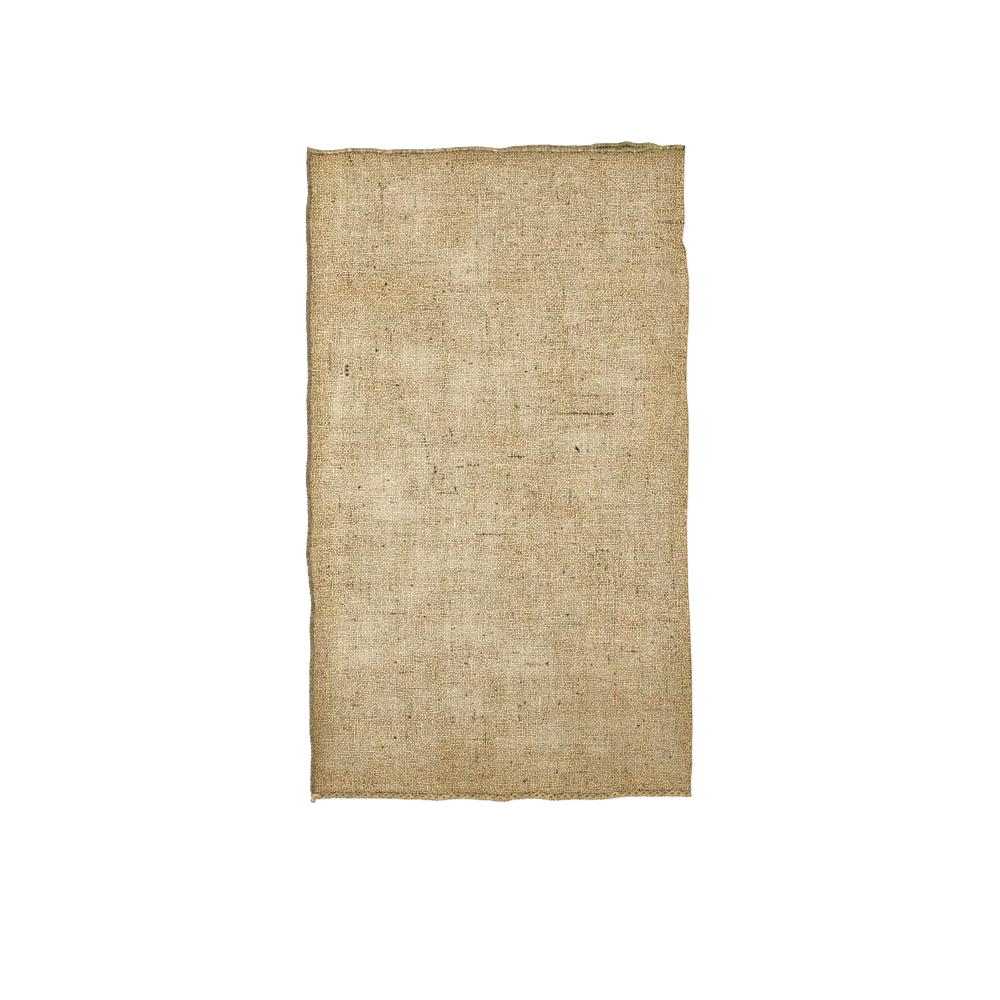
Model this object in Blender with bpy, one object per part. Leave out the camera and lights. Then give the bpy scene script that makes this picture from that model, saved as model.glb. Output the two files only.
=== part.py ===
"""An empty jute sack, lying flat on its back layer with its mouth towards +Y.

Metres, +Z up. The origin is the middle of the sack's footprint, on the surface that
it lies on. One length of cloth is folded along the right edge (+X). Twine closes the
left side and the bottom. The mouth is open, and its front layer stands a little off
the back layer.
"""

from collections import namedtuple
from math import cos, pi, sin

import bmesh
import bpy
import numpy as np

MM = 0.001

# The sack's straight edges, which the tables below then bend.
LEFT_EDGE = -0.17492
RIGHT_EDGE = 0.17508
BOTTOM_EDGE = -0.30064
MOUTH_EDGE = 0.29736

# Cloth
CLOTH_THICK = 1.2 * MM
SEWN_GAP = 0.3 * MM  # between the two layers where the twine holds them
FOLD_GAP = 1.5 * MM  # between the two layers next to the fold
LOOSE_GAP = 5.6 * MM  # between the two layers over the middle of the sack
EDGE_ROUND = 0.7 * MM

# Twine
TWINE_THICK = 0.9 * MM
TWINE_CLEAR = 0.3 * MM
TWINE_SWELL = 0.35 * MM  # how much thicker a stitch is than the dip beside it
SHOULDER = 0.75  # the twine's thickness beside the cloth's upper and lower face, as a share
STITCH_PITCH = 6.5 * MM
BOTTOM_SEAM_DEPTH = 5.2 * MM
SIDE_SEAM_DEPTH = 3.2 * MM
TWINE_OUT = TWINE_CLEAR + TWINE_THICK  # how far a stitch stands outside the cloth
TAIL_REACH = 3.4 * MM  # the twine's end, looped out at the bottom left corner
TAIL_STATION = 2

# How far from a seam or from the fold the cloth takes to settle or to rise
SEAM_FLAT = 1.0 * MM
DROP_TO_FLOOR = 9.0 * MM
RISE_FROM_SIDE = 34.0 * MM
RISE_FROM_FOLD = 30.0 * MM
RISE_FROM_BOTTOM = 42.0 * MM
SEAM_LIFT = TWINE_THICK + TWINE_CLEAR  # the cloth at a seam lies on its twine

# Mesh
COLUMNS = 21
COLUMN_CROWDING = 0.12
ROWS = 46
NOTCH_ALONG_MM = (502, 511, 520)
NOTCH_CLEAR = 0.35  # least distance from those rings to the even ones, in ring spacings
FOLD_STEPS = 5

# Each row says how far along the edge it is, and how far out the edge lies there.
Bend = namedtuple("Bend", "along_mm out_mm")

LEFT_BENDS = [
    Bend(3, -1.1),
    Bend(20, -1.2),
    Bend(45, -1.7),
    Bend(64, -0.4),
    Bend(100, -0.2),
    Bend(120, -0.3),
    Bend(137, -1.1),
    Bend(157, -0.4),
    Bend(179, -1.7),
    Bend(195, -0.2),
    Bend(211, 1.3),
    Bend(229, 2.7),
    Bend(245, 1.5),
    Bend(257, 1.1),
    Bend(275, 1.7),
    Bend(298, 2.8),
    Bend(315, 1.8),
    Bend(330, 1.4),
    Bend(350, 2.0),
    Bend(367, 2.4),
    Bend(390, 1.3),
    Bend(420, 1.9),
    Bend(450, 2.8),
    Bend(480, 1.8),
    Bend(514, 2.5),
    Bend(536, 3.0),
    Bend(560, 1.2),
    Bend(583, 2.4),
    Bend(599, 2.0),
]
RIGHT_BENDS = [
    Bend(2, 1.3),
    Bend(14, 1.4),
    Bend(27, 2.4),
    Bend(45, 2.3),
    Bend(64, 2.9),
    Bend(85, 2.5),
    Bend(110, 2.3),
    Bend(137, 1.3),
    Bend(165, 0.3),
    Bend(192, -1.1),
    Bend(220, -1.7),
    Bend(248, -2.3),
    Bend(280, -1.4),
    Bend(312, -0.9),
    Bend(332, -0.7),
    Bend(349, -0.9),
    Bend(376, -2.6),
    Bend(395, -2.5),
    Bend(413, -2.0),
    Bend(445, -0.6),
    Bend(473, -0.5),
    Bend(489, -2.3),
    Bend(502, -3.4),
    Bend(511, -6.5),
    Bend(520, -5.6),
    Bend(531, -4.4),
    Bend(551, -5.1),
    Bend(588, -4.4),
    Bend(601, -3.6),
]
BOTTOM_BENDS = [
    Bend(3, -1.4),
    Bend(9, -0.1),
    Bend(23, -1.0),
    Bend(43, -0.9),
    Bend(79, -0.6),
    Bend(88, 0.2),
    Bend(99, 0.0),
    Bend(108, 0.6),
    Bend(121, 1.2),
    Bend(133, -0.3),
    Bend(164, 0.8),
    Bend(178, 2.3),
    Bend(190, 0.1),
    Bend(208, -0.8),
    Bend(226, 1.2),
    Bend(237, 0.4),
    Bend(246, 0.0),
    Bend(258, 0.5),
    Bend(275, -0.1),
    Bend(284, -1.6),
    Bend(295, -2.6),
    Bend(330, -2.6),
    Bend(351, -2.2),
]
BACK_MOUTH_BENDS = [
    Bend(0, 1.4),
    Bend(9, -0.6),
    Bend(21, -1.0),
    Bend(38, 0.7),
    Bend(58, 0.5),
    Bend(73, -0.9),
    Bend(84, -0.2),
    Bend(102, -0.4),
    Bend(153, 2.2),
    Bend(165, 1.6),
    Bend(176, 0.7),
    Bend(188, 2.6),
    Bend(217, 4.2),
    Bend(231, 3.3),
    Bend(257, 3.5),
    Bend(266, 5.5),
    Bend(283, 5.6),
    Bend(292, 7.2),
    Bend(302, 5.4),
    Bend(314, 6.0),
    Bend(325, 2.9),
    Bend(339, 4.0),
    Bend(346, 3.4),
]
# How far the front layer's mouth edge falls short of the back layer's
FRONT_SHORT_BENDS = [
    Bend(0, 0.4),
    Bend(30, 0.8),
    Bend(160, 0.8),
    Bend(174, 1.0),
    Bend(188, 2.5),
    Bend(217, 3.9),
    Bend(245, 3.6),
    Bend(257, 3.6),
    Bend(267, 6.2),
    Bend(278, 5.9),
    Bend(290, 7.2),
    Bend(305, 5.4),
    Bend(314, 3.0),
    Bend(324, 0.8),
    Bend(334, 0.4),
    Bend(346, 0.4),
]

# Soft high and low places of the front layer
Swell = namedtuple("Swell", "x_mm y_mm radius_mm height_mm")
SWELLS = [
    Swell(95, 285, 60, 1.6),
    Swell(-60, 270, 70, 0.5),
    Swell(-100, 150, 80, -0.4),
    Swell(70, 120, 90, 0.8),
    Swell(-40, 10, 100, 0.7),
    Swell(120, -40, 70, -0.5),
    Swell(-120, -120, 60, 0.6),
    Swell(30, -170, 80, 0.8),
    Swell(125, -215, 50, -0.4),
]


def smooth_step(value):
    """0 below 0, 1 above 1, and a soft S between."""
    t = np.clip(value, 0.0, 1.0)
    return t * t * (3.0 - 2.0 * t)


def middle_slope(before, after):
    """The curve's slope at a row of a table: level where the edge turns back there."""
    return 2 * before * after / (before + after) if before * after > 0 else 0.0


def bend_at(bends, along):
    """The edge's offset at a length along it, on a smooth curve through the table's rows."""
    at = np.array([row.along_mm for row in bends]) * MM
    out = np.array([row.out_mm for row in bends]) * MM
    steps = np.diff(out) / np.diff(at)
    slopes = np.array([steps[0], *map(middle_slope, steps[:-1], steps[1:]), steps[-1]])
    i = int(np.clip(np.searchsorted(at, along) - 1, 0, len(at) - 2))
    span = at[i + 1] - at[i]
    t = float(np.clip((along - at[i]) / span, 0.0, 1.0))
    start = out[i] * (1 + 2 * t) * (1 - t) ** 2 + slopes[i] * span * t * (1 - t) ** 2
    end = out[i + 1] * t * t * (3 - 2 * t) - slopes[i + 1] * span * t * t * (1 - t)
    return start + end


def left_of_cloth(y):
    return LEFT_EDGE - bend_at(LEFT_BENDS, y - BOTTOM_EDGE) + TWINE_OUT


def right_of_cloth(y):
    return RIGHT_EDGE + bend_at(RIGHT_BENDS, y - BOTTOM_EDGE)


def bottom_of_cloth(x):
    return BOTTOM_EDGE - bend_at(BOTTOM_BENDS, x - LEFT_EDGE) + TWINE_OUT


def back_mouth(x):
    return MOUTH_EDGE + bend_at(BACK_MOUTH_BENDS, x - LEFT_EDGE)


def front_mouth(x):
    return back_mouth(x) - bend_at(FRONT_SHORT_BENDS, x - LEFT_EDGE)


def seam_lift(x, y):
    """Height of the back layer's underside, which lies on the twine at each seam."""
    from_side = x - left_of_cloth(y) - SIDE_SEAM_DEPTH - SEAM_FLAT
    from_bottom = y - bottom_of_cloth(x) - BOTTOM_SEAM_DEPTH - SEAM_FLAT
    nearest = min(from_side, from_bottom)
    return SEAM_LIFT * (1.0 - smooth_step(nearest / DROP_TO_FLOOR))


def layer_gap(x, y):
    """The air between the back and the front layer."""
    from_side = x - left_of_cloth(y) - SIDE_SEAM_DEPTH - SEAM_FLAT
    from_fold = right_of_cloth(y) - x
    from_bottom = y - bottom_of_cloth(x) - BOTTOM_SEAM_DEPTH - SEAM_FLAT
    rise = smooth_step(from_side / RISE_FROM_SIDE)
    rise *= smooth_step(from_bottom / RISE_FROM_BOTTOM)
    rise_from_fold = smooth_step(from_fold / RISE_FROM_FOLD)
    loose = LOOSE_GAP
    for swell in SWELLS:
        away = np.hypot(x - swell.x_mm * MM, y - swell.y_mm * MM)
        share = smooth_step(1.0 - away / (swell.radius_mm * MM))
        loose += swell.height_mm * MM * share
    open_gap = FOLD_GAP + (loose - FOLD_GAP) * rise_from_fold
    return SEWN_GAP + (open_gap - SEWN_GAP) * rise


def half_fold(edge, y, low, high, radius):
    """Points round the fold, from the back layer to the front one."""
    middle = (low + high) / 2
    points = []
    for step in range(1, FOLD_STEPS + 1):
        angle = pi * step / (FOLD_STEPS + 1) - pi / 2
        x = edge + radius * cos(angle)
        points.append((x, y, middle + (high - low) / 2 * sin(angle)))
    return points


def column_share(column):
    """Where a column lies across the layer, with columns closer at its two sides."""
    start = cos(pi * COLUMN_CROWDING)
    now = cos(pi * (COLUMN_CROWDING + (1 - 2 * COLUMN_CROWDING) * column / COLUMNS))
    return (start - now) / (2 * start)


def layer_points(along, mouth, margin):
    """Plan points of one layer, from the side seam to the fold, at a share of the length."""
    straight_y = BOTTOM_EDGE + along * (MOUTH_EDGE - BOTTOM_EDGE)
    left = left_of_cloth(straight_y)
    seam_end = left + SIDE_SEAM_DEPTH + SEAM_FLAT
    right = right_of_cloth(straight_y) - fold_radius(straight_y)
    across = [left + margin]
    for column in range(COLUMNS):
        across.append(seam_end + column_share(column) * (right - seam_end))
    across.append(right)
    points = []
    for x in across:
        low = bottom_of_cloth(x)
        points.append((x, low + along * (mouth(x) - low)))
    return points


def fold_radius(y):
    """Half the height of the folded edge."""
    return CLOTH_THICK + layer_gap(right_of_cloth(y), y) / 2


def outer_ring(along, pinch=0.0):
    """One section of the sack's outside. pinch draws it in, at the very bottom."""
    back = layer_points(along, back_mouth, EDGE_ROUND)
    front = layer_points(along, front_mouth, EDGE_ROUND)
    under = [(x, y, seam_lift(x, y)) for x, y in back]
    over = []
    for x, y in front:
        over.append((x, y, seam_lift(x, y) + 2 * CLOTH_THICK + layer_gap(x, y)))
    x, y, low = under[-1]
    fold_y = (y + over[-1][1]) / 2
    fold = half_fold(x, fold_y, low, over[-1][2], fold_radius(y))
    x, y, low = under[0]
    edge = (x - EDGE_ROUND, (y + over[0][1]) / 2, (low + over[0][2]) / 2)
    ring = [*under, *fold, *reversed(over), edge]
    middle = edge[2]
    return [(x, y, z + np.clip(middle - z, -pinch, pinch)) for x, y, z in ring]


def inner_ring(along):
    """One section of the space inside the sack."""
    back = layer_points(along, back_mouth, SIDE_SEAM_DEPTH)
    front = layer_points(along, front_mouth, SIDE_SEAM_DEPTH)
    floor = [(x, y, seam_lift(x, y) + CLOTH_THICK) for x, y in back]
    roof = []
    for x, y in front:
        roof.append((x, y, seam_lift(x, y) + CLOTH_THICK + layer_gap(x, y)))
    x, y, low = floor[-1]
    fold_y = (y + roof[-1][1]) / 2
    fold = half_fold(x, fold_y, low, roof[-1][2], fold_radius(y) - CLOTH_THICK)
    x, y, low = floor[0]
    edge = (x - SEWN_GAP / 2, (y + roof[0][1]) / 2, (low + roof[0][2]) / 2)
    return [*floor, *fold, *reversed(roof), edge]


def cap_ring(mesh, ring):
    """Closes a ring's end across its back and front layers."""
    layer = COLUMNS + 2
    back = ring[:layer]
    fold = ring[layer : layer + FOLD_STEPS]
    front = ring[layer + FOLD_STEPS : 2 * layer + FOLD_STEPS][::-1]
    for i in range(layer - 1):
        mesh.faces.new((back[i], back[i + 1], front[i + 1], front[i]))
    mesh.faces.new([back[-1], *fold, front[-1]])
    mesh.faces.new((front[0], ring[-1], back[0]))


def join_rings(mesh, first, second):
    count = len(first)
    for i in range(count):
        j = (i + 1) % count
        mesh.faces.new((first[i], first[j], second[j], second[i]))


def sack_rows():
    """Shares of the length at which both skins have a ring, closer at the notch."""
    length = MOUTH_EDGE - BOTTOM_EDGE
    seam_end = (BOTTOM_SEAM_DEPTH + SEAM_FLAT) / length
    evenly = [float(row) for row in np.linspace(seam_end, 1.0, ROWS)]
    notch = [along * MM / length for along in NOTCH_ALONG_MM]
    clear = NOTCH_CLEAR / ROWS
    spread = [row for row in evenly if min(abs(row - n) for n in notch) > clear]
    return sorted(spread + notch)


def sack_rings():
    """Every ring of the outer and of the inner skin, from the bottom to the mouth."""
    length = MOUTH_EDGE - BOTTOM_EDGE
    rows = sack_rows()
    outer = [outer_ring(0.0, pinch=EDGE_ROUND), outer_ring(EDGE_ROUND / length)]
    outer += [outer_ring(along) for along in rows]
    inner = [inner_ring(BOTTOM_SEAM_DEPTH / length)]
    inner += [inner_ring(along) for along in rows]
    return outer, inner


def add_object(name, mesh, material):
    bmesh.ops.recalc_face_normals(mesh, faces=mesh.faces)
    data = bpy.data.meshes.new(name)
    mesh.to_mesh(data)
    mesh.free()
    data.shade_smooth()
    data.set_sharp_from_angle(angle=pi / 4)
    data.materials.append(material)
    thing = bpy.data.objects.new(name, data)
    bpy.context.scene.collection.objects.link(thing)
    return thing


def make_cloth(outer, inner, material):
    """Front layer, fold and back layer in one, hollow and open at the mouth."""
    mesh = bmesh.new()
    skins = []
    for rings in (outer, inner):
        skin = [[mesh.verts.new(point) for point in ring] for ring in rings]
        for first, second in zip(skin, skin[1:]):
            join_rings(mesh, first, second)
        cap_ring(mesh, skin[0])
        skins.append(skin)
    join_rings(mesh, skins[0][-1], skins[1][-1])
    return add_object("sack_cloth", mesh, material)


def twine_section(depth, thick, reach):
    """A seam's section: distance in from the cloth's edge, and height over the floor."""
    cloth_high = SEAM_LIFT + 2 * CLOTH_THICK + SEWN_GAP
    in_low = SEAM_LIFT - TWINE_CLEAR
    in_high = cloth_high + TWINE_CLEAR
    out_high = in_high + thick
    shoulder = -TWINE_CLEAR - SHOULDER * thick
    return [
        (depth, 0.0),
        (0.0, 0.0),
        (shoulder, in_low),
        (-TWINE_CLEAR - thick - reach, (SEAM_LIFT + cloth_high) / 2),
        (shoulder, in_high),
        (0.0, out_high),
        (depth, out_high),
        (depth, in_high),
        (-TWINE_CLEAR, in_high),
        (-TWINE_CLEAR, in_low),
        (depth, in_low),
    ]


def make_seam(name, stations, point_at, depth, material, tail=None):
    """Overedge twine along an edge: a stitch and a dip at every other station."""
    mesh = bmesh.new()
    sections = []
    for number, along in enumerate(stations):
        dip = TWINE_SWELL * (number % 2)
        reach = TAIL_REACH if number == tail else 0.0
        section = twine_section(depth - 2 * dip, TWINE_THICK - dip, reach)
        sections.append([mesh.verts.new(point_at(along, a, z)) for a, z in section])
    for first, second in zip(sections, sections[1:]):
        join_rings(mesh, first, second)
    mesh.faces.new(sections[0])
    mesh.faces.new(sections[-1])
    return add_object(name, mesh, material)


def stitch_stations(start, end):
    """Places of the stitches and of the dips between them."""
    stitches = round((end - start) / STITCH_PITCH)
    return [float(place) for place in np.linspace(start, end, 2 * stitches + 1)]


def make_bottom_seam(outer, material):
    edge = outer[0][: COLUMNS + 2 + FOLD_STEPS // 2]
    edge_x = [point[0] for point in edge]
    edge_y = [point[1] for point in edge]

    def point_at(x, inward, z):
        return x, float(np.interp(x, edge_x, edge_y)) + inward, z

    stations = stitch_stations(edge_x[0] - EDGE_ROUND - TWINE_OUT, edge_x[-1] - TWINE_CLEAR)
    depth = BOTTOM_SEAM_DEPTH
    return make_seam("bottom_seam", stations, point_at, depth, material, TAIL_STATION)


def make_side_seam(outer, material):
    edge = [ring[-1] for ring in outer]
    edge_x = [point[0] for point in edge]
    edge_y = [point[1] for point in edge]

    def point_at(y, inward, z):
        return float(np.interp(y, edge_y, edge_x)) + inward, y, z

    start = edge_y[0] + BOTTOM_SEAM_DEPTH + TWINE_CLEAR
    stations = stitch_stations(start, edge_y[-1] - TWINE_CLEAR)
    return make_seam("side_seam", stations, point_at, SIDE_SEAM_DEPTH, material)


def make_material(name, colour, roughness):
    material = bpy.data.materials.new(name)
    material.use_nodes = True
    shader = material.node_tree.nodes["Principled BSDF"]
    shader.inputs["Base Color"].default_value = (*colour, 1.0)
    shader.inputs["Roughness"].default_value = roughness
    shader.inputs["Metallic"].default_value = 0.0
    return material


def main():
    for thing in list(bpy.data.objects):
        bpy.data.objects.remove(thing, do_unlink=True)
    jute = make_material("jute_cloth", (0.52, 0.40, 0.23), 0.9)
    twine = make_material("jute_twine", (0.60, 0.48, 0.30), 0.85)
    outer, inner = sack_rings()
    make_cloth(outer, inner, jute)
    make_bottom_seam(outer, twine)
    make_side_seam(outer, twine)


main()
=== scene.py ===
from collections import namedtuple

import bmesh
import bpy
import numpy as np
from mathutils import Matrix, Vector


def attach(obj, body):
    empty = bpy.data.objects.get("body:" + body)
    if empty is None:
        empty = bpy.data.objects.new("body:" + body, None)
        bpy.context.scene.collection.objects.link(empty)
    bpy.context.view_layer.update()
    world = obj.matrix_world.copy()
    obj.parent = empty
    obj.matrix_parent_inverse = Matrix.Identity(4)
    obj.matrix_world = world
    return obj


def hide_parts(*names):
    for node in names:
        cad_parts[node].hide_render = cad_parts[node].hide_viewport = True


# An empty jute sack that lies flat, mouth towards +Y. Metres, as in the frame.
MM = 0.001
PI = np.pi

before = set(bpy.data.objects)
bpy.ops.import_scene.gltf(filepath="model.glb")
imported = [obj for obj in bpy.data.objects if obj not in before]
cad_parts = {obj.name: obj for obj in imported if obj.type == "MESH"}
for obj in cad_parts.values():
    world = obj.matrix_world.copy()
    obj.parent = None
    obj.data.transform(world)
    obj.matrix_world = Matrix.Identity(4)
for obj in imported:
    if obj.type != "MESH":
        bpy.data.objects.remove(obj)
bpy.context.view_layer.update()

# ---------------------------------------------------------------- named sizes, as the solids have them
LEFT_EDGE = -0.17492
RIGHT_EDGE = 0.17508
BOTTOM_EDGE = -0.30064
MOUTH_EDGE = 0.29736
LENGTH = MOUTH_EDGE - BOTTOM_EDGE

CLOTH_THICK = 1.2 * MM
SEWN_GAP = 0.3 * MM
FOLD_GAP = 1.5 * MM
LOOSE_GAP = 5.6 * MM
EDGE_ROUND = 0.7 * MM

TWINE_THICK = 0.9 * MM
TWINE_CLEAR = 0.3 * MM
STITCH_PITCH = 6.5 * MM
BOTTOM_SEAM_DEPTH = 5.2 * MM
SIDE_SEAM_DEPTH = 3.2 * MM
TWINE_OUT = TWINE_CLEAR + TWINE_THICK
SEAM_FLAT = 1.0 * MM
DROP_TO_FLOOR = 9.0 * MM
RISE_FROM_SIDE = 34.0 * MM
RISE_FROM_FOLD = 30.0 * MM
RISE_FROM_BOTTOM = 42.0 * MM
SEAM_LIFT = TWINE_THICK + TWINE_CLEAR
SEWN_TOP = SEAM_LIFT + 2 * CLOTH_THICK + SEWN_GAP

# Yarns
ACROSS_PITCH = 1.51 * MM  # between the yarns that run up the sack
ALONG_PITCH = 1.60 * MM  # between the yarns that run across it
SELVEDGE_PITCH = 2 * ACROSS_PITCH  # between the loops at the mouth
SELVEDGE_ROWS = [0.9 * MM, 2.5 * MM]
SELVEDGE_START = 1.6 * MM
SELVEDGE_GAPS = 3.4 * MM  # from the mouth to the open row below its loops
NEEDLE_ROW = 4.7 * MM  # from the bottom to the needle holes
PLY_RADIUS = 0.46 * MM
PLY_OFFSET = 0.34 * MM
PLY_TWIST = 5.2 * MM
LOWEST_YARN = 0.55 * MM  # a selvedge yarn's middle is never nearer to the floor

# Mesh
BACK_COLUMNS = 76
FRONT_COLUMNS = 2 * BACK_COLUMNS
OUTER_ROWS = 268
INNER_ROWS = 62
FOLD_STEPS = 8


def table(row_type, *rows):
    return [row_type(*row) for row in rows]


# Where the outline bends: how far along an edge, and how far out of its straight line
Bend = namedtuple("Bend", "along_mm out_mm")
LEFT_BENDS = table(
    Bend,
    (3, -1.1), (20, -1.2), (45, -1.7), (64, -0.4), (100, -0.2), (120, -0.3), (137, -1.1),
    (157, -0.4), (179, -1.7), (195, -0.2), (211, 1.3), (229, 2.7), (245, 1.5), (257, 1.1),
    (275, 1.7), (298, 2.8), (315, 1.8), (330, 1.4), (350, 2.0), (367, 2.4), (390, 1.3), (420, 1.9),
    (450, 2.8), (480, 1.8), (514, 2.5), (536, 3.0), (560, 1.2), (583, 2.4), (599, 2.0),
)
RIGHT_BENDS = table(
    Bend,
    (2, 1.3), (14, 1.4), (27, 2.4), (45, 2.3), (64, 2.9), (85, 2.5), (110, 2.3), (137, 1.3),
    (165, 0.3), (192, -1.1), (220, -1.7), (248, -2.3), (280, -1.4), (312, -0.9), (332, -0.7),
    (349, -0.9), (376, -2.6), (395, -2.5), (413, -2.0), (445, -0.6), (473, -0.5), (489, -2.3),
    (502, -3.4), (511, -6.5), (520, -5.6), (531, -4.4), (551, -5.1), (588, -4.4), (601, -3.6),
)
BOTTOM_BENDS = table(
    Bend,
    (3, -1.4), (9, -0.1), (23, -1.0), (43, -0.9), (79, -0.6), (88, 0.2), (99, 0.0), (108, 0.6),
    (121, 1.2), (133, -0.3), (164, 0.8), (178, 2.3), (190, 0.1), (208, -0.8), (226, 1.2),
    (237, 0.4), (246, 0.0), (258, 0.5), (275, -0.1), (284, -1.6), (295, -2.6), (330, -2.6),
    (351, -2.2),
)
BACK_MOUTH_BENDS = table(
    Bend,
    (0, 1.4), (9, -0.6), (21, -1.0), (38, 0.7), (58, 0.5), (73, -0.9), (84, -0.2), (102, -0.4),
    (153, 2.2), (165, 1.6), (176, 0.7), (188, 2.6), (217, 4.2), (231, 3.3), (257, 3.5), (266, 5.5),
    (283, 5.6), (292, 7.2), (302, 5.4), (314, 6.0), (325, 2.9), (339, 4.0), (346, 3.4),
)
# How far the front layer ends short of the back one at the mouth
FRONT_SHORT_BENDS = table(
    Bend,
    (0, 0.4), (30, 0.8), (160, 0.8), (174, 1.0), (188, 2.5), (217, 3.9), (245, 3.6), (257, 3.6),
    (267, 6.2), (278, 5.9), (290, 7.2), (305, 5.4), (314, 3.0), (324, 0.8), (334, 0.4), (346, 0.4),
)

Swell = namedtuple("Swell", "x_mm y_mm radius_mm height_mm")
SWELLS = table(
    Swell,
    (95, 285, 60, 1.6), (-60, 270, 70, 0.5), (-100, 150, 80, -0.4), (70, 120, 90, 0.8),
    (-40, 10, 100, 0.7), (120, -40, 70, -0.5), (-120, -120, 60, 0.6), (30, -170, 80, 0.8),
    (125, -215, 50, -0.4),
)

# Troughs and ridges of the front layer between two points, with their half width and height
Crease = namedtuple("Crease", "x0_mm y0_mm x1_mm y1_mm wide_mm high_mm")
CREASES = table(
    Crease,
    (-118, -285, -105, -298, 2.2, -0.8), (-160, 205, -120, 214, 3.5, 0.35),
    (-150, -190, -158, -262, 4.0, -0.4), (150, -150, 160, -235, 4.5, -0.4),
    (168, 200, 128, 222, 3.5, -0.4), (30, 262, 66, 236, 4.0, 0.35),
    (-30, -270, 46, -276, 4.0, 0.35), (-90, 20, -84, -60, 4.0, 0.3),
)

# ---------------------------------------------------------------- stains and thin places
# Soft ellipses on the front layer: middle, half width, half height, strength.
Patch = namedtuple("Patch", "x_mm y_mm wide_mm high_mm amount")
PALE = table(
    Patch,
    (-64, -76, 70, 118, 0.38), (-22, 127, 20, 92, 0.40), (-75, 102, 19, 15, 0.60),
    (-31, 191, 20, 14, 0.55), (-80, 255, 22, 17, 0.45), (-140, 67, 19, 17, 0.60),
    (-110, -16, 22, 16, 0.55), (-94, -36, 20, 12, 0.55), (19, 90, 21, 24, 0.50),
    (81, 25, 20, 16, 0.50), (111, 76, 28, 16, 0.50), (-31, -136, 24, 21, 0.50),
    (26, -170, 24, 19, 0.62), (-123, -154, 19, 25, 0.50), (-34, -214, 24, 16, 0.52),
    (53, -241, 24, 12, 0.66), (93, -252, 15, 9, 0.60), (150, -10, 12, 14, 0.35),
    (30, 250, 16, 12, 0.35),
)
WARM = table(
    Patch,
    (-112, 163, 60, 14, 0.55), (15, 168, 24, 14, 0.55), (111, 173, 24, 14, 0.50),
    (70, 85, 34, 26, 0.30), (1, 35, 20, 15, 0.40), (10, -7, 20, 17, 0.25), (148, 53, 24, 56, 0.45),
    (-13, -260, 50, 36, 0.40), (-60, 230, 40, 26, 0.30), (60, -60, 40, 50, 0.20),
    (105, -210, 60, 70, 0.45), (150, 150, 26, 90, 0.35),
)
DARK = table(
    Patch,
    (-156, -243, 22, 40, 0.60), (168, -223, 16, 90, 0.38), (14, 168, 20, 12, 0.25),
    (-13, -262, 46, 30, 0.25), (110, -280, 70, 24, 0.20), (115, -215, 50, 60, 0.45),
    (60, -200, 40, 40, 0.22), (-158, -200, 14, 60, 0.35), (130, -60, 30, 50, 0.15),
)
# Tone of the cloth from the bottom to the mouth
Tone = namedtuple("Tone", "y_mm light")
TONES = table(
    Tone,
    (-300, 0.80), (-286, 0.85), (-262, 0.905), (-225, 0.93), (-185, 0.96), (-120, 1.0),
    (-40, 1.02), (80, 1.01), (200, 0.985), (262, 0.955), (283, 0.90), (289, 0.80), (293, 0.72),
    (310, 0.80),
)

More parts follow.
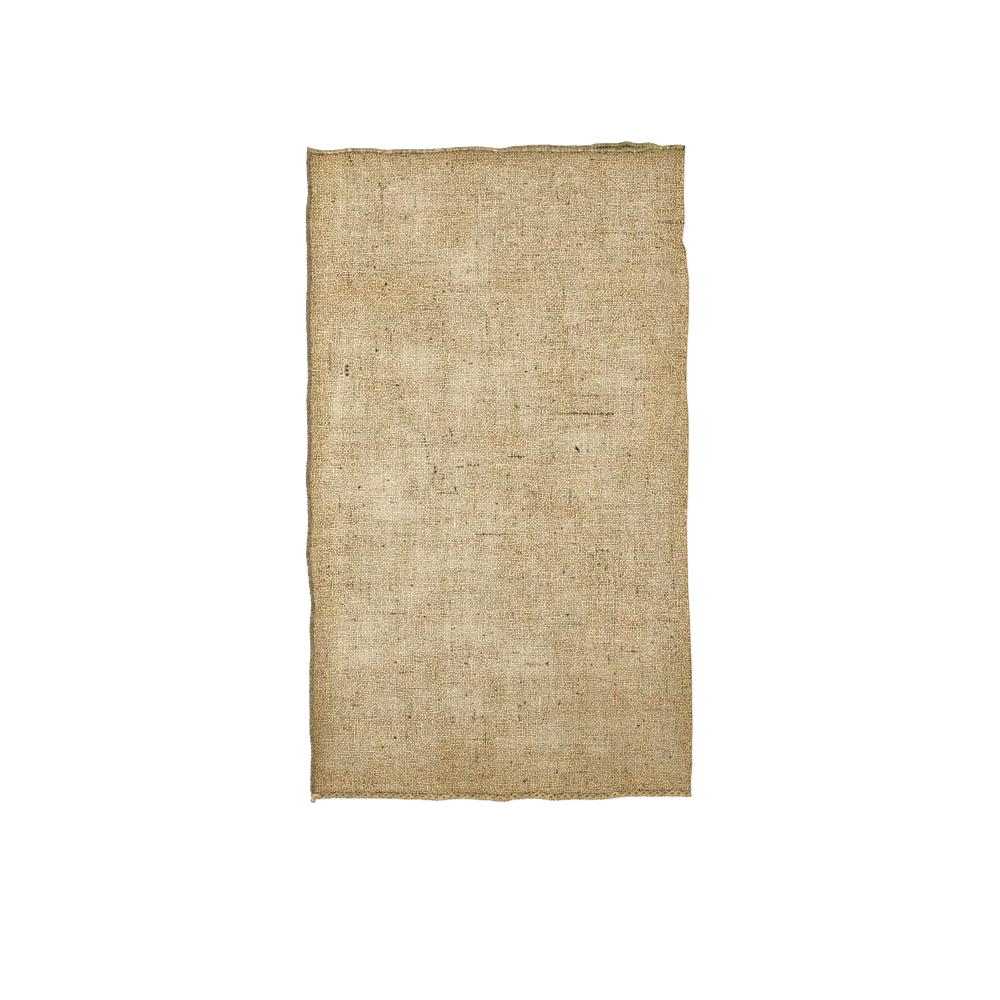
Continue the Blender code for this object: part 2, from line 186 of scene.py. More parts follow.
# Dark bark and root ends caught in the yarns: a run from one point to another, with so many bits
# of one length.
Fleck = namedtuple("Fleck", "x0_mm y0_mm x1_mm y1_mm bits long_mm")
FLECKS = table(
    Fleck,
    (66.5, 54.0, 104.0, 53.2, 15, 1.7), (49, 53.8, 65, 53.8, 7, 1.1),
    (67, 70.4, 130, 70.6, 22, 0.9), (-20, -57.0, 15, -56.8, 13, 1.4),
    (90, 219.2, 148, 219.0, 22, 0.9), (-5.6, 183.2, 22, 183.3, 9, 0.8),
    (56, -250.6, 106, -250.4, 18, 0.9), (9, 14.8, 23, 14.2, 6, 1.7),
    (147, 229.6, 170, 228.8, 8, 1.3), (88, 234, 89, 217, 5, 1.3), (-137, 289, -134, 282, 3, 1.5),
    (-104, 172.8, -103, 172.4, 1, 2.0), (-50.5, 166.5, -43.5, 166, 2, 1.2),
    (-1, 154.5, -1.2, 150, 2, 1.3), (-62.6, 122.5, -62.4, 122.2, 1, 1.6),
    (-41.5, 121.6, -41.2, 121.2, 1, 1.6), (-112.4, 111.6, -112, 111.2, 1, 1.8),
    (-139.6, 96.5, -139.4, 89.5, 3, 2.1), (-93, 79.6, -92.8, 79.9, 1, 2.0),
    (-45.4, 40, -43.6, 34, 3, 1.5), (32.5, 186.9, 32.8, 186.6, 1, 1.3),
    (77, 186.5, 77.3, 186.2, 1, 1.2), (20, 158.9, 20.3, 158.6, 1, 1.2),
    (46, 148, 46.2, 147.6, 1, 1.2), (70.5, 23, 73.4, 19.2, 4, 1.6),
    (-101.8, 5.2, -101.5, 5.0, 1, 1.3), (-68.5, 34, -64.5, 8, 9, 1.4),
    (-58.6, 4.6, -58.2, 0.4, 2, 2.0), (-60.6, -2, -60.2, -12, 5, 1.3),
    (-51, -2, -50.6, -10, 3, 1.0), (-51.5, 33, -51, 20, 5, 1.1), (-37, 5, -34, 4.6, 2, 1.2),
    (-28, 7, -19, 6.6, 4, 1.2), (-56, -19, -38, -19.5, 7, 1.1),
    (-11.6, 147.4, -11.4, 126.6, 7, 1.2), (-39.6, -14, -39.2, -17, 2, 1.4),
    (-128, -13.4, -127.8, -13.8, 1, 1.4), (-106, -67.6, -105.7, -67.2, 1, 1.5),
    (-156.4, -86.6, -156.2, -87, 1, 1.3), (-131.8, -58.4, -131.6, -58, 1, 1.2),
    (-85.6, -90.6, -85.4, -90.2, 1, 1.2), (-138.6, -103.4, -138.4, -103, 1, 1.3),
    (-80, -103.4, -79.8, -103.8, 1, 1.2), (-132, -135.6, -131.8, -135.2, 1, 1.4),
    (-13.8, -149.4, -13.6, -149.8, 1, 1.4), (-43.4, -140, -43.2, -172, 9, 1.2),
    (88.2, 5.6, 88.4, 5.2, 1, 1.4), (-2, -28.4, -1.8, -28.8, 1, 1.4),
    (28.4, -39, 28.6, -39.4, 1, 1.3), (65.2, -16, 65, -30, 6, 1.1), (8.2, -2.5, 8.0, -25, 8, 1.0),
    (51.4, -55.6, 51.6, -56, 1, 1.2), (90, -72.2, 99.4, -72, 3, 1.0),
    (91, -84, 91.2, -84.4, 1, 1.3), (45, -102.4, 45.2, -102.8, 1, 1.2),
    (160, -98.8, 160.2, -106, 3, 1.4), (63, -130.4, 63.2, -130.8, 1, 1.3),
    (158.2, -150.8, 158.4, -151.2, 1, 1.3), (110.2, 2, 110.4, -80, 16, 0.5),
    (-139.4, -170, -139.2, -170.4, 1, 1.2), (-94.8, -174.2, -94.6, -174.6, 1, 1.3),
    (-68.2, -132, -68, -132.4, 1, 1.2), (-82, -224, -81.8, -224.4, 1, 1.5),
    (-42.4, -224.6, -42.2, -229, 2, 1.4), (-95.4, -243.2, -95, -243.6, 1, 1.9),
    (-106.8, -251.4, -106.6, -251.8, 1, 1.6), (44, -175, 44.2, -175.4, 1, 1.3),
    (84.6, -176, 84.8, -176.4, 1, 1.3), (71.8, -202.8, 75.4, -203, 2, 1.3),
    (131.4, -187, 131.6, -187.4, 1, 1.3), (23.8, -209.4, 24, -212, 1, 1.3),
    (127.8, -232, 128, -232.4, 1, 1.3), (-117, -286.5, -105, -298.5, 8, 1.3),
    (-163.8, -296.4, -163.6, -296.8, 1, 2.0), (-151, -294.8, -146.4, -297.0, 3, 1.3),
)
SLUBS = 120
FLECK_RUNS = 150
LONE_FLECKS = 420

# ---------------------------------------------------------------- shape


def smooth_step(value):
    t = np.clip(value, 0.0, 1.0)
    return t * t * (3.0 - 2.0 * t)


def bell(distance, wide_mm):
    """1 at no distance, falling off to both sides."""
    return np.exp(-((distance / (wide_mm * MM)) ** 2))


def middle_slope(before, after):
    """The slope at a row of a table: level where the edge turns back there."""
    return 2 * before * after / (before + after) if before * after > 0 else 0.0


def cubic(at, out, slopes, where):
    """The curve through the points (at, out), with the given slopes there."""
    i = np.clip(np.searchsorted(at, where) - 1, 0, len(at) - 2)
    span = at[i + 1] - at[i]
    t = np.clip((where - at[i]) / span, 0.0, 1.0)
    start = out[i] * (1 + 2 * t) * (1 - t) ** 2 + slopes[i] * span * t * (1 - t) ** 2
    end = out[i + 1] * t * t * (3 - 2 * t) - slopes[i + 1] * span * t * t * (1 - t)
    return start + end


def bend_at(bends, along):
    at, out = (np.array(column) * MM for column in zip(*bends))
    steps = np.diff(out) / np.diff(at)
    slopes = np.array([steps[0], *map(middle_slope, steps[:-1], steps[1:]), steps[-1]])
    return cubic(at, out, slopes, np.asarray(along, float))


def smooth_path(points, count):
    """A smooth open curve of count points through the given ones."""
    points = np.asarray(points, float)
    at = np.concatenate([[0], np.cumsum(np.linalg.norm(np.diff(points, axis=0), axis=1))])
    fine = np.linspace(0, at[-1], count)
    return np.stack([cubic(at, p, np.gradient(p, at), fine) for p in points.T], axis=1)


def left_of_cloth(y):
    return LEFT_EDGE - bend_at(LEFT_BENDS, y - BOTTOM_EDGE) + TWINE_OUT


def right_of_cloth(y):
    return RIGHT_EDGE + bend_at(RIGHT_BENDS, y - BOTTOM_EDGE)


def bottom_of_cloth(x):
    return BOTTOM_EDGE - bend_at(BOTTOM_BENDS, x - LEFT_EDGE) + TWINE_OUT


def back_mouth(x):
    return MOUTH_EDGE + bend_at(BACK_MOUTH_BENDS, x - LEFT_EDGE)


def front_mouth(x):
    return back_mouth(x) - bend_at(FRONT_SHORT_BENDS, x - LEFT_EDGE)


def from_seams(x, y):
    """How far a point is inside the flat of the side seam, and inside that of the bottom seam."""
    from_side = x - left_of_cloth(y) - SIDE_SEAM_DEPTH - SEAM_FLAT
    return from_side, y - bottom_of_cloth(x) - BOTTOM_SEAM_DEPTH - SEAM_FLAT


def seam_lift(x, y):
    return SEAM_LIFT * (1.0 - smooth_step(np.minimum(*from_seams(x, y)) / DROP_TO_FLOOR))


def layer_gap(x, y):
    from_side, from_bottom = from_seams(x, y)
    rise = smooth_step(from_side / RISE_FROM_SIDE) * smooth_step(from_bottom / RISE_FROM_BOTTOM)
    rise_from_fold = smooth_step((right_of_cloth(y) - x) / RISE_FROM_FOLD)
    loose = LOOSE_GAP
    for swell in SWELLS:
        away = np.hypot(x - swell.x_mm * MM, y - swell.y_mm * MM)
        loose = loose + swell.height_mm * MM * smooth_step(1.0 - away / (swell.radius_mm * MM))
    open_gap = FOLD_GAP + (loose - FOLD_GAP) * rise_from_fold
    return SEWN_GAP + (open_gap - SEWN_GAP) * rise


def fold_radius(y):
    return CLOTH_THICK + layer_gap(right_of_cloth(y), y) / 2


def value_noise(x, y, wide_mm, high_mm, seed):
    """Smooth noise from -1 to 1, in cells of the given size."""
    grid = np.random.default_rng(seed).uniform(-1.0, 1.0, (96, 96))
    gx = (x + 1.0) / (wide_mm * MM)
    gy = (y + 1.0) / (high_mm * MM)
    ix, iy = np.floor(gx).astype(int), np.floor(gy).astype(int)
    tx, ty = smooth_step(gx - ix), smooth_step(gy - iy)
    low, high = (
        grid[row % 96, ix % 96] * (1 - tx) + grid[row % 96, (ix + 1) % 96] * tx for row in (iy, iy + 1)
    )
    return low * (1 - ty) + high * ty


def front_relief(x, y):
    """Cockle of the front layer, its puckers at the seams, its creases and its selvedge."""
    from_side = x - left_of_cloth(y)
    from_bottom = y - bottom_of_cloth(x)
    from_mouth = front_mouth(x) - y
    from_fold = right_of_cloth(y) - x
    free = smooth_step(np.minimum(from_side, from_bottom) / (30 * MM))
    cockle = 0.34 * value_noise(x, y, 38, 22, 1)
    cockle = cockle + 0.26 * value_noise(x, y, 15, 24, 2)
    cockle = cockle + 0.14 * value_noise(x, y, 9, 7, 3)
    relief = cockle * (0.25 + 0.75 * free)
    pucker = np.cos(2 * PI * x / STITCH_PITCH) * bell(from_bottom - 7 * MM, 5)
    relief = relief + 0.22 * pucker
    pucker = np.cos(2 * PI * y / STITCH_PITCH) * bell(from_side - 5 * MM, 4)
    relief = relief + 0.16 * pucker
    # the pull of each seam: low folds that start at it and die out
    pull = value_noise(x, 0 * y, 11, 1000, 5) * np.exp(-np.abs(from_bottom - 9 * MM) / (14 * MM))
    relief = relief + 0.35 * pull * smooth_step(from_bottom / (8 * MM))
    pull = value_noise(0 * x, y, 1000, 13, 6) * np.exp(-np.abs(from_side - 7 * MM) / (12 * MM))
    relief = relief + 0.30 * pull * smooth_step(from_side / (6 * MM))
    relief = relief + 0.30 * bell(from_mouth - 2 * MM, 2.4)
    for crease in CREASES:
        ax, ay, bx, by = (v * MM for v in crease[:4])
        length = np.hypot(bx - ax, by - ay)
        ux, uy = (bx - ax) / length, (by - ay) / length
        t = np.clip((x - ax) * ux + (y - ay) * uy, 0, length)
        away = np.hypot(x - ax - t * ux, y - ay - t * uy)
        ends = smooth_step(4 * t / length) * smooth_step(4 * (1 - t / length))
        relief = relief + crease.high_mm * bell(away, crease.wide_mm) * (0.3 + 0.7 * ends)
    relief = relief * smooth_step(from_fold / (3 * MM))
    return np.clip(relief, -0.9, 0.9) * MM


def top_of_front(x, y):
    return seam_lift(x, y) + 2 * CLOTH_THICK + layer_gap(x, y) + front_relief(x, y)


def layer_grid(along, share, mouth, margin):
    """Plan points of one layer: a row for each share of the length."""
    along = np.asarray(along)[:, None]
    straight_y = BOTTOM_EDGE + along * LENGTH
    left = left_of_cloth(straight_y) + margin
    right = right_of_cloth(straight_y) - fold_radius(straight_y)
    x = left + np.asarray(share)[None, :] * (right - left)
    low = bottom_of_cloth(x)
    return x, low + along * (mouth(x) - low)


def sack_skin(along, inner):
    """Points, weave coordinates and side of one skin, one ring for each share of the length."""
    margin = SIDE_SEAM_DEPTH if inner else EDGE_ROUND
    thick = CLOTH_THICK if inner else 0.0
    back_share = np.linspace(0, 1, BACK_COLUMNS + 1)
    front_share = np.linspace(0, 1, FRONT_COLUMNS + 1)
    bx, by = layer_grid(along, back_share, back_mouth, margin)
    fx, fy = layer_grid(along, front_share, front_mouth, margin)
    bz = seam_lift(bx, by) + thick
    fz = seam_lift(fx, fy) + 2 * CLOTH_THICK + layer_gap(fx, fy) - thick
    if not inner:
        fz = fz + front_relief(fx, fy)
    # the fold
    low, high = bz[:, -1:], fz[:, -1:]
    angle = PI * np.arange(1, FOLD_STEPS + 1) / (FOLD_STEPS + 1) - PI / 2
    radius = (fold_radius(by[:, -1:]) - thick) * np.cos(angle)[None, :]
    cx = bx[:, -1:] + radius
    blend = (np.sin(angle)[None, :] + 1) / 2
    cy = by[:, -1:] * (1 - blend) + fy[:, -1:] * blend
    cz = low + (high - low) * blend
    # the sewn edge
    ex = bx[:, :1] - (SEWN_GAP / 2 if inner else EDGE_ROUND)
    ey = (by[:, :1] + fy[:, :1]) / 2
    ez = (bz[:, :1] + fz[:, :1]) / 2
    x = np.hstack([bx, cx, fx[:, ::-1], ex])
    y = np.hstack([by, cy, fy[:, ::-1], ey])
    z = np.hstack([bz, cz, fz[:, ::-1], ez])
    # weave coordinate across the cloth: up from the front's left edge, round the fold
    front_u = fx - LEFT_EDGE
    turn = front_u[:, -1:]
    arc = PI * fold_radius(by[:, -1:])
    fold_u = turn + arc * (1 - blend)
    back_u = turn + arc + (bx[:, -1:] - bx)
    u = np.hstack([back_u, fold_u, front_u[:, ::-1], front_u[:, :1] - EDGE_ROUND])
    v = y - BOTTOM_EDGE
    side = np.hstack([0 * bx, blend + 0 * cx, 1 + 0 * fx, 0.5 + 0 * ex])
    return np.stack([x, y, z], axis=2), np.stack([u, v], axis=2), side


def ring_faces(first, rows, count):
    """Quads between rows of rings that start at vertex first."""
    i = np.arange(count)
    j = (i + 1) % count
    faces = []
    for row in range(rows - 1):
        a = first + row * count
        b = a + count
        faces.append(np.stack([a + i, a + j, b + j, b + i], axis=1))
    return np.vstack(faces)


def cap_faces(first):
    """Closes the bottom ring across its back and front layers."""
    nb, nf = BACK_COLUMNS, FRONT_COLUMNS
    back = [first + i for i in range(nb + 1)]
    fold = [first + nb + 1 + i for i in range(FOLD_STEPS)]
    start = nb + 1 + FOLD_STEPS
    front = [first + start + nf - i for i in range(nf + 1)]
    edge = first + start + nf + 1
    faces = []
    for i in range(nb):
        faces.append((back[i], back[i + 1], front[2 * i + 2], front[2 * i + 1], front[2 * i]))
    faces.append((back[-1], *fold, front[-1]))
    faces.append((front[0], edge, back[0]))
    return faces


def patch_field(patches, x, y):
    total = 0 * x
    for patch in patches:
        dx = (x - patch.x_mm * MM) / (patch.wide_mm * MM)
        dy = (y - patch.y_mm * MM) / (patch.high_mm * MM)
        wobble = 0.22 * value_noise(x, y, 14, 11, 31)
        total = total + patch.amount * smooth_step((1.5 - np.hypot(dx, dy) + wobble) / 1.1)
    return np.clip(total, 0, 1)


def cloth_tints(x, y, side):
    """Three masks on the cloth: thin and pale, warm, and how light it is."""
    pale = patch_field(PALE, x, y)
    warm = patch_field(WARM, x, y)
    dark = patch_field(DARK, x, y)
    heights, lights = zip(*TONES)
    light = np.interp(y, np.array(heights) * MM, lights)
    from_left = x - left_of_cloth(y)
    from_right = right_of_cloth(y) - x
    from_bottom = y - bottom_of_cloth(x)
    low = smooth_step((-y - 0.02) / 0.25)
    from_mouth = front_mouth(x) - y
    warm = warm + (0.55 + 0.25 * low) * bell(from_left, 17)
    warm = warm + 0.50 * bell(from_bottom, 38)
    warm = warm + 0.45 * bell(from_mouth, 22)
    warm = warm + 0.35 * bell(from_right, 16)
    light = light - (0.10 + 0.07 * low) * bell(from_left, 16)
    light = light - 0.04 * bell(from_right, 14)
    light = light - 0.30 * bell(from_left, 1.8)
    light = light - 0.26 * bell(from_right, 1.2)
    # painted shade: the cloth is darker under the bottom seam's twine, and a painted shadow line runs
    # just above the crests of its loops
    light = light - 0.34 * smooth_step(1.5 - from_bottom / (3.6 * MM))
    light = light - 0.22 * bell(from_bottom - 5.1 * MM, 0.8)
    light = light - 0.30 * smooth_step(2.0 - from_mouth / (1.9 * MM))
    light = light - 0.16 * dark
    edge = np.minimum(np.minimum(from_left, from_right), np.minimum(from_bottom, from_mouth))
    pale = pale * smooth_step(edge / (26 * MM)) - 0.5 * bell(edge, 15)
    pale = pale * side + 0.18 * (1 - side)
    return np.clip(pale, -0.5, 1), np.clip(warm, 0, 1.2), np.clip(light, 0.2, 1.2)


def olive_at(x, y):
    """Where the selvedge is tinted green: along the mouth, mostly to the right."""
    near = smooth_step((y - 0.2915) / 0.004)
    right = smooth_step((x - 0.075) / 0.03) * (1 - 0.5 * smooth_step((x - 0.16) / 0.01))
    left = 0.5 * bell(x + 0.044, 12)
    return near * np.clip(0.10 + 0.75 * right + left, 0, 1)


def add_colours(data, name, colours):
    attribute = data.color_attributes.new(name=name, type="FLOAT_COLOR", domain="POINT")
    attribute.data.foreach_set("color", np.asarray(colours, dtype=np.float32).ravel())


def mesh_object(name, verts, faces, uvs, material, colours=None, uv_name="strand"):
    data = bpy.data.meshes.new(name)
    data.from_pydata(np.asarray(verts).tolist(), [], [tuple(map(int, f)) for f in faces])
    data.validate()
    layer = data.uv_layers.new(name=uv_name)
    index = np.empty(len(data.loops), dtype=np.int32)
    data.loops.foreach_get("vertex_index", index)
    layer.data.foreach_set("uv", np.asarray(uvs, dtype=np.float32)[index].ravel())
    if colours is not None:
        add_colours(data, "tint", colours)
    data.shade_smooth()
    data.materials.append(material)
    thing = bpy.data.objects.new(name, data)
    bpy.context.scene.collection.objects.link(thing)
    return thing


def make_cloth(material):
    rows = np.linspace((BOTTOM_SEAM_DEPTH + SEAM_FLAT) / LENGTH, 1.0, OUTER_ROWS - 6)
    low = np.array([0.0, 0.35, 0.7, 1.6, 3.2, 4.6]) * MM / LENGTH
    outer_along = np.concatenate([low, rows])
    outer, outer_uv, outer_side = sack_skin(outer_along, inner=False)
    middle = outer[:, -1:, 2]
    for row, pinch in ((0, 0.7 * MM), (1, 0.22 * MM)):
        z = outer[row, :, 2]
        outer[row, :, 2] = z + np.clip(middle[row] - z, -pinch, pinch)
    inner_rows = np.linspace(0.012, 1.0, INNER_ROWS - 1)
    inner_along = np.concatenate([[BOTTOM_SEAM_DEPTH / LENGTH], inner_rows])
    inner, inner_uv, inner_side = sack_skin(inner_along, inner=True)
    count = outer.shape[1]
    verts = np.vstack([outer.reshape(-1, 3), inner.reshape(-1, 3)])
    uvs = np.vstack([outer_uv.reshape(-1, 2), inner_uv.reshape(-1, 2)])
    side = np.concatenate([outer_side.ravel(), inner_side.ravel()])
    split = outer.shape[0] * count
    faces = [tuple(f) for f in ring_faces(0, outer.shape[0], count)[:, ::-1]]
    faces += [tuple(f) for f in ring_faces(split, inner.shape[0], count)]
    faces += cap_faces(0)
    faces += [tuple(reversed(f)) for f in cap_faces(split)]
    last_outer = split - count
    last_inner = len(verts) - count
    for i in range(count):
        j = (i + 1) % count
        faces.append((last_outer + j, last_outer + i, last_inner + i, last_inner + j))
    x, y = verts[:, 0], verts[:, 1]
    pale, warm, light = cloth_tints(x, y, side)
    to_mouth = np.where(side > 0.5, front_mouth(x), back_mouth(x)) - y
    light = light - 0.24 * smooth_step(1.6 - to_mouth / (3.4 * MM))
    colours = np.stack([pale, warm, light, olive_at(x, y)], axis=1)
    cloth = mesh_object("sack_cloth_woven", verts, faces, uvs, material, colours, "weave")
    distance = [to_mouth, y - bottom_of_cloth(x), x - left_of_cloth(y), np.ones(len(x))]
    add_colours(cloth.data, "edges", np.stack(distance, axis=1) / MM)
    mesh = bmesh.new()
    mesh.from_mesh(cloth.data)
    bmesh.ops.recalc_face_normals(mesh, faces=mesh.faces)
    mesh.to_mesh(cloth.data)
    mesh.free()
    return cloth


# ---------------------------------------------------------------- strands


def strands(paths, radius, sides, plies=1, offset=0.0, twist=1.0, taper=0.0, phase=None):
    """Tubes along paths of shape (strands, points, 3): vertices, faces and strand coordinates."""
    paths = np.asarray(paths, float)
    count, n, _ = paths.shape
    tangent = np.gradient(paths, axis=1)
    tangent /= np.linalg.norm(tangent, axis=2, keepdims=True) + 1e-12
    step = np.linalg.norm(np.diff(paths, axis=1), axis=2)
    length = np.concatenate([np.zeros((count, 1)), np.cumsum(step, axis=1)], axis=1)
    reference = np.where(np.abs(tangent[:, 0, 2:3]) < 0.8, [[0.0, 0.0, 1.0]], [[1.0, 0.0, 0.0]])
    normal = np.empty_like(paths)
    current = reference
    for k in range(n):
        current = current - (current * tangent[:, k]).sum(1, keepdims=True) * tangent[:, k]
        current = current / (np.linalg.norm(current, axis=1, keepdims=True) + 1e-12)
        normal[:, k] = current
    across = np.cross(tangent, normal)
    radius = np.broadcast_to(np.asarray(radius, float), (count, n)).copy()
    if taper:
        t = np.linspace(0, 1, n)[None, :]
        radius = radius * (1 - taper * np.abs(2 * t - 1) ** 3)
    turn = np.arange(sides) * 2 * PI / sides
    phase = np.zeros(count) if phase is None else phase
    verts, uvs = [], []
    for ply in range(plies):
        swing = 2 * PI * (length / twist + ply / plies) + phase[:, None]
        swing = swing[..., None]
        centre = paths + offset * (np.cos(swing) * normal + np.sin(swing) * across)
        out = np.cos(turn)[:, None] * normal[:, :, None] + np.sin(turn)[:, None] * across[:, :, None]
        ring = centre[:, :, None] + radius[:, :, None, None] * out
        verts.append(ring.reshape(-1, 3))
        shift = np.arange(count)[:, None, None] * 0.013  # so that no two strands have the same fibres
        u = np.broadcast_to(length[:, :, None] + shift, (count, n, sides))
        v = np.broadcast_to(turn / (2 * PI), (count, n, sides))
        uvs.append(np.stack([u, v], axis=3).reshape(-1, 2))
    base = np.arange(count * plies)[:, None, None] * n * sides
    k = np.arange(n - 1)[None, :, None] * sides
    s = np.arange(sides)
    a = base + k + s
    b = base + k + (s + 1) % sides
    quads = np.stack([a, b, b + sides, a + sides], axis=-1).reshape(-1, 4)
    ends = []
    for start in range(0, count * plies * n * sides, n * sides):
        ends.append(tuple(start + i for i in range(sides))[::-1])
        ends.append(tuple(start + (n - 1) * sides + i for i in range(sides)))
    return np.vstack(verts), [tuple(q) for q in quads] + ends, np.vstack(uvs)


def strand_tints(verts, tone=1.0, highest=1.0, olive=1.0):
    """The cloth's tints on the strands that lie on it."""
    x, y = verts[:, 0], verts[:, 1]
    pale, warm, light = cloth_tints(x, np.minimum(y, highest), np.ones(len(x)))
    return np.stack([pale, warm, light * tone, olive * olive_at(x, y)], axis=1)


def join_parts(parts):
    verts, faces, uvs, first = [], [], [], 0
    for v, f, u in parts:
        verts.append(v)
        uvs.append(u)
        faces += [tuple(i + first for i in face) for face in f]
        first += len(v)
    return np.vstack(verts), faces, np.vstack(uvs)


def seam_paths(edge_point, stations, depth, points):
    """Looped stitches on top, slanted ones beneath, and the turns round the edge."""
    rng = np.random.default_rng(int(depth * 1e6))
    count = len(stations) - 1
    start, end = stations[:-1], stations[1:]
    pitch = (end - start)[:, None]
    t = np.linspace(0, 1, points)[None, :]
    fat = PLY_OFFSET + PLY_RADIUS
    # each loop goes from the edge up to its crest, where the needle went in, and back
    deep = depth * rng.uniform(0.84, 1.06, (count, 1))
    lean = rng.uniform(-0.16, 0.20, (count, 1))
    arch = np.sin(PI * t) ** 0.85
    along = start[:, None] + pitch * (-0.10 + 1.20 * t + lean * arch)
    inward = 0.5 * MM + (deep - 0.5 * MM) * arch
    z = SEWN_TOP + fat * 0.62 - 0.30 * MM * np.exp(-(((t - 0.5) / 0.07) ** 2))
    z = z - 0.5 * MM * smooth_step((1.6 * MM - inward) / (1.6 * MM)) + 0 * along
    top = edge_point(along, inward, z)
    # beneath: slanted from one turn to the next
    along = start[:, None] + pitch * t
    inward = 0.2 * MM + 0.75 * deep * np.sin(PI * t)
    z = np.full_like(along, fat * 0.98)
    below = edge_point(along, inward, z)
    # round the edge: two turns for each stitch, all slanted one way
    places = np.sort(np.concatenate([stations, (start + end) / 2]))
    angle = np.linspace(-0.60 * PI, 0.60 * PI, 13)[None, :]
    slant = rng.uniform(0.18, 0.40, (len(places), 1)) * STITCH_PITCH
    along = places[:, None] + slant * np.sin(angle)
    centre = (fat + SEWN_TOP + fat * 0.5) / 2
    reach = (SEWN_TOP - SEAM_LIFT) / 2 + fat * 0.55
    out = 1.0 * MM + fat * rng.uniform(0.45, 0.85, (len(places), 1))
    inward = 1.0 * MM - out * np.cos(angle) + 0 * along
    z = centre + reach * np.sin(angle) + 0 * along
    turns = edge_point(along, inward, z)
    return top, below, turns


def edge_cord(edge_point, stations, inward, points_each):
    """The looper's twine, which runs along just inside the edge and binds the loops."""
    n = (len(stations) - 1) * points_each + 1
    s = np.linspace(stations[0], stations[-1], n)
    phase = 2 * PI * np.arange(n) / points_each
    wave = inward + 0.75 * MM * np.cos(phase) + 0.25 * MM * np.sin(phase * 0.37 + 1.0)
    z = SEWN_TOP + 0.45 * MM + 0.25 * MM * np.cos(phase + 0.6)
    return edge_point(s, wave, z)[None]


def bottom_grey(x, y):
    """The bottom seam's twine is grey in one place near its left end and at its tail."""
    near = np.exp(-(((x + 144 * MM) / (15 * MM)) ** 4))
    tail = smooth_step((-167 * MM - x) / (2 * MM)) * smooth_step((-299 * MM - y) / (1 * MM))
    return np.clip(0.12 + 0.12 * value_noise(x, y, 17, 13, 61) + 0.75 * near + tail, 0, 1)


def side_grey(x, y):
    return 0.8 + 0.2 * value_noise(x, y, 17, 13, 61)


def seam_object(name, edge_point, stations, depth, material, light, grey, extra=()):
    top, below, turns = seam_paths(edge_point, stations, depth, 19)
    rng = np.random.default_rng(len(stations))
    parts, tones = [], []
    for paths in (top, below, turns):
        phase = rng.uniform(0, 2 * PI, len(paths))
        thick = PLY_RADIUS * rng.uniform(0.86, 1.12, (len(paths), 1))
        parts.append(strands(paths, thick, 6, 2, PLY_OFFSET, PLY_TWIST, 0.0, phase))
        n = len(parts[-1][0]) // (2 * len(paths))
        tones.append(np.tile(np.repeat(light * rng.uniform(0.62, 1.14, len(paths)), n), 2))
    for paths, share in extra:
        parts.append(strands(paths, PLY_RADIUS * share, 6, 2, PLY_OFFSET * share, PLY_TWIST))
        tones.append(np.full(len(parts[-1][0]), light * 0.97))
    verts, faces, uvs = join_parts(parts)
    tones = np.concatenate(tones)
    greyed = grey(verts[:, 0], verts[:, 1])
    colours = np.stack([greyed, 0 * tones, tones, olive_at(verts[:, 0], verts[:, 1])], axis=1)
    return mesh_object(name, verts, faces, uvs, material, colours)


def stitch_stations(start, end):
    """Where the stitches begin and end along an edge."""
    return np.linspace(start, end, int(round((end - start) / STITCH_PITCH)) + 1)


def make_bottom_seam(material):
    stations = stitch_stations(
        left_of_cloth(BOTTOM_EDGE) + 0.8 * MM, right_of_cloth(BOTTOM_EDGE) - 1.0 * MM
    )

    def edge_point(along, inward, z):
        return np.stack([along, bottom_of_cloth(along) + inward, z], axis=-1)

    # the twine's end: a small loop out at the bottom left corner
    corner = np.array([-170.9, -301.3, 0.0])
    loop = corner + [
        (1.2, 3.6, 3.6), (0.2, 1.9, 3.4), (-1.5, 0.6, 2.6), (-1.4, -1.1, 1.8), (0.1, -1.7, 1.6),
        (1.5, -0.8, 1.9), (1.3, 0.8, 2.7), (0.4, 2.6, 4.4), (3.0, 4.9, 4.6), (6.6, 4.4, 4.4),
    ]
    extra = [
        (smooth_path(loop * MM, 60)[None], 1.5), (edge_cord(edge_point, stations, 1.5 * MM, 8), 0.8)
    ]
    return seam_object(
        "bottom_seam_twine", edge_point, stations, 4.1 * MM, material, 0.80, bottom_grey, extra
    )


def make_side_seam(material):
    stations = stitch_stations(
        bottom_of_cloth(LEFT_EDGE + 1 * MM) + BOTTOM_SEAM_DEPTH + 0.6 * MM, MOUTH_EDGE - 0.4 * MM
    )

    def edge_point(along, inward, z):
        return np.stack([left_of_cloth(along) + inward, along, z], axis=-1)

    extra = [(edge_cord(edge_point, stations, 0.9 * MM, 8), 0.6)]
    return seam_object(
        "side_seam_twine", edge_point, stations, 2.3 * MM, material, 0.50, side_grey, extra
    )


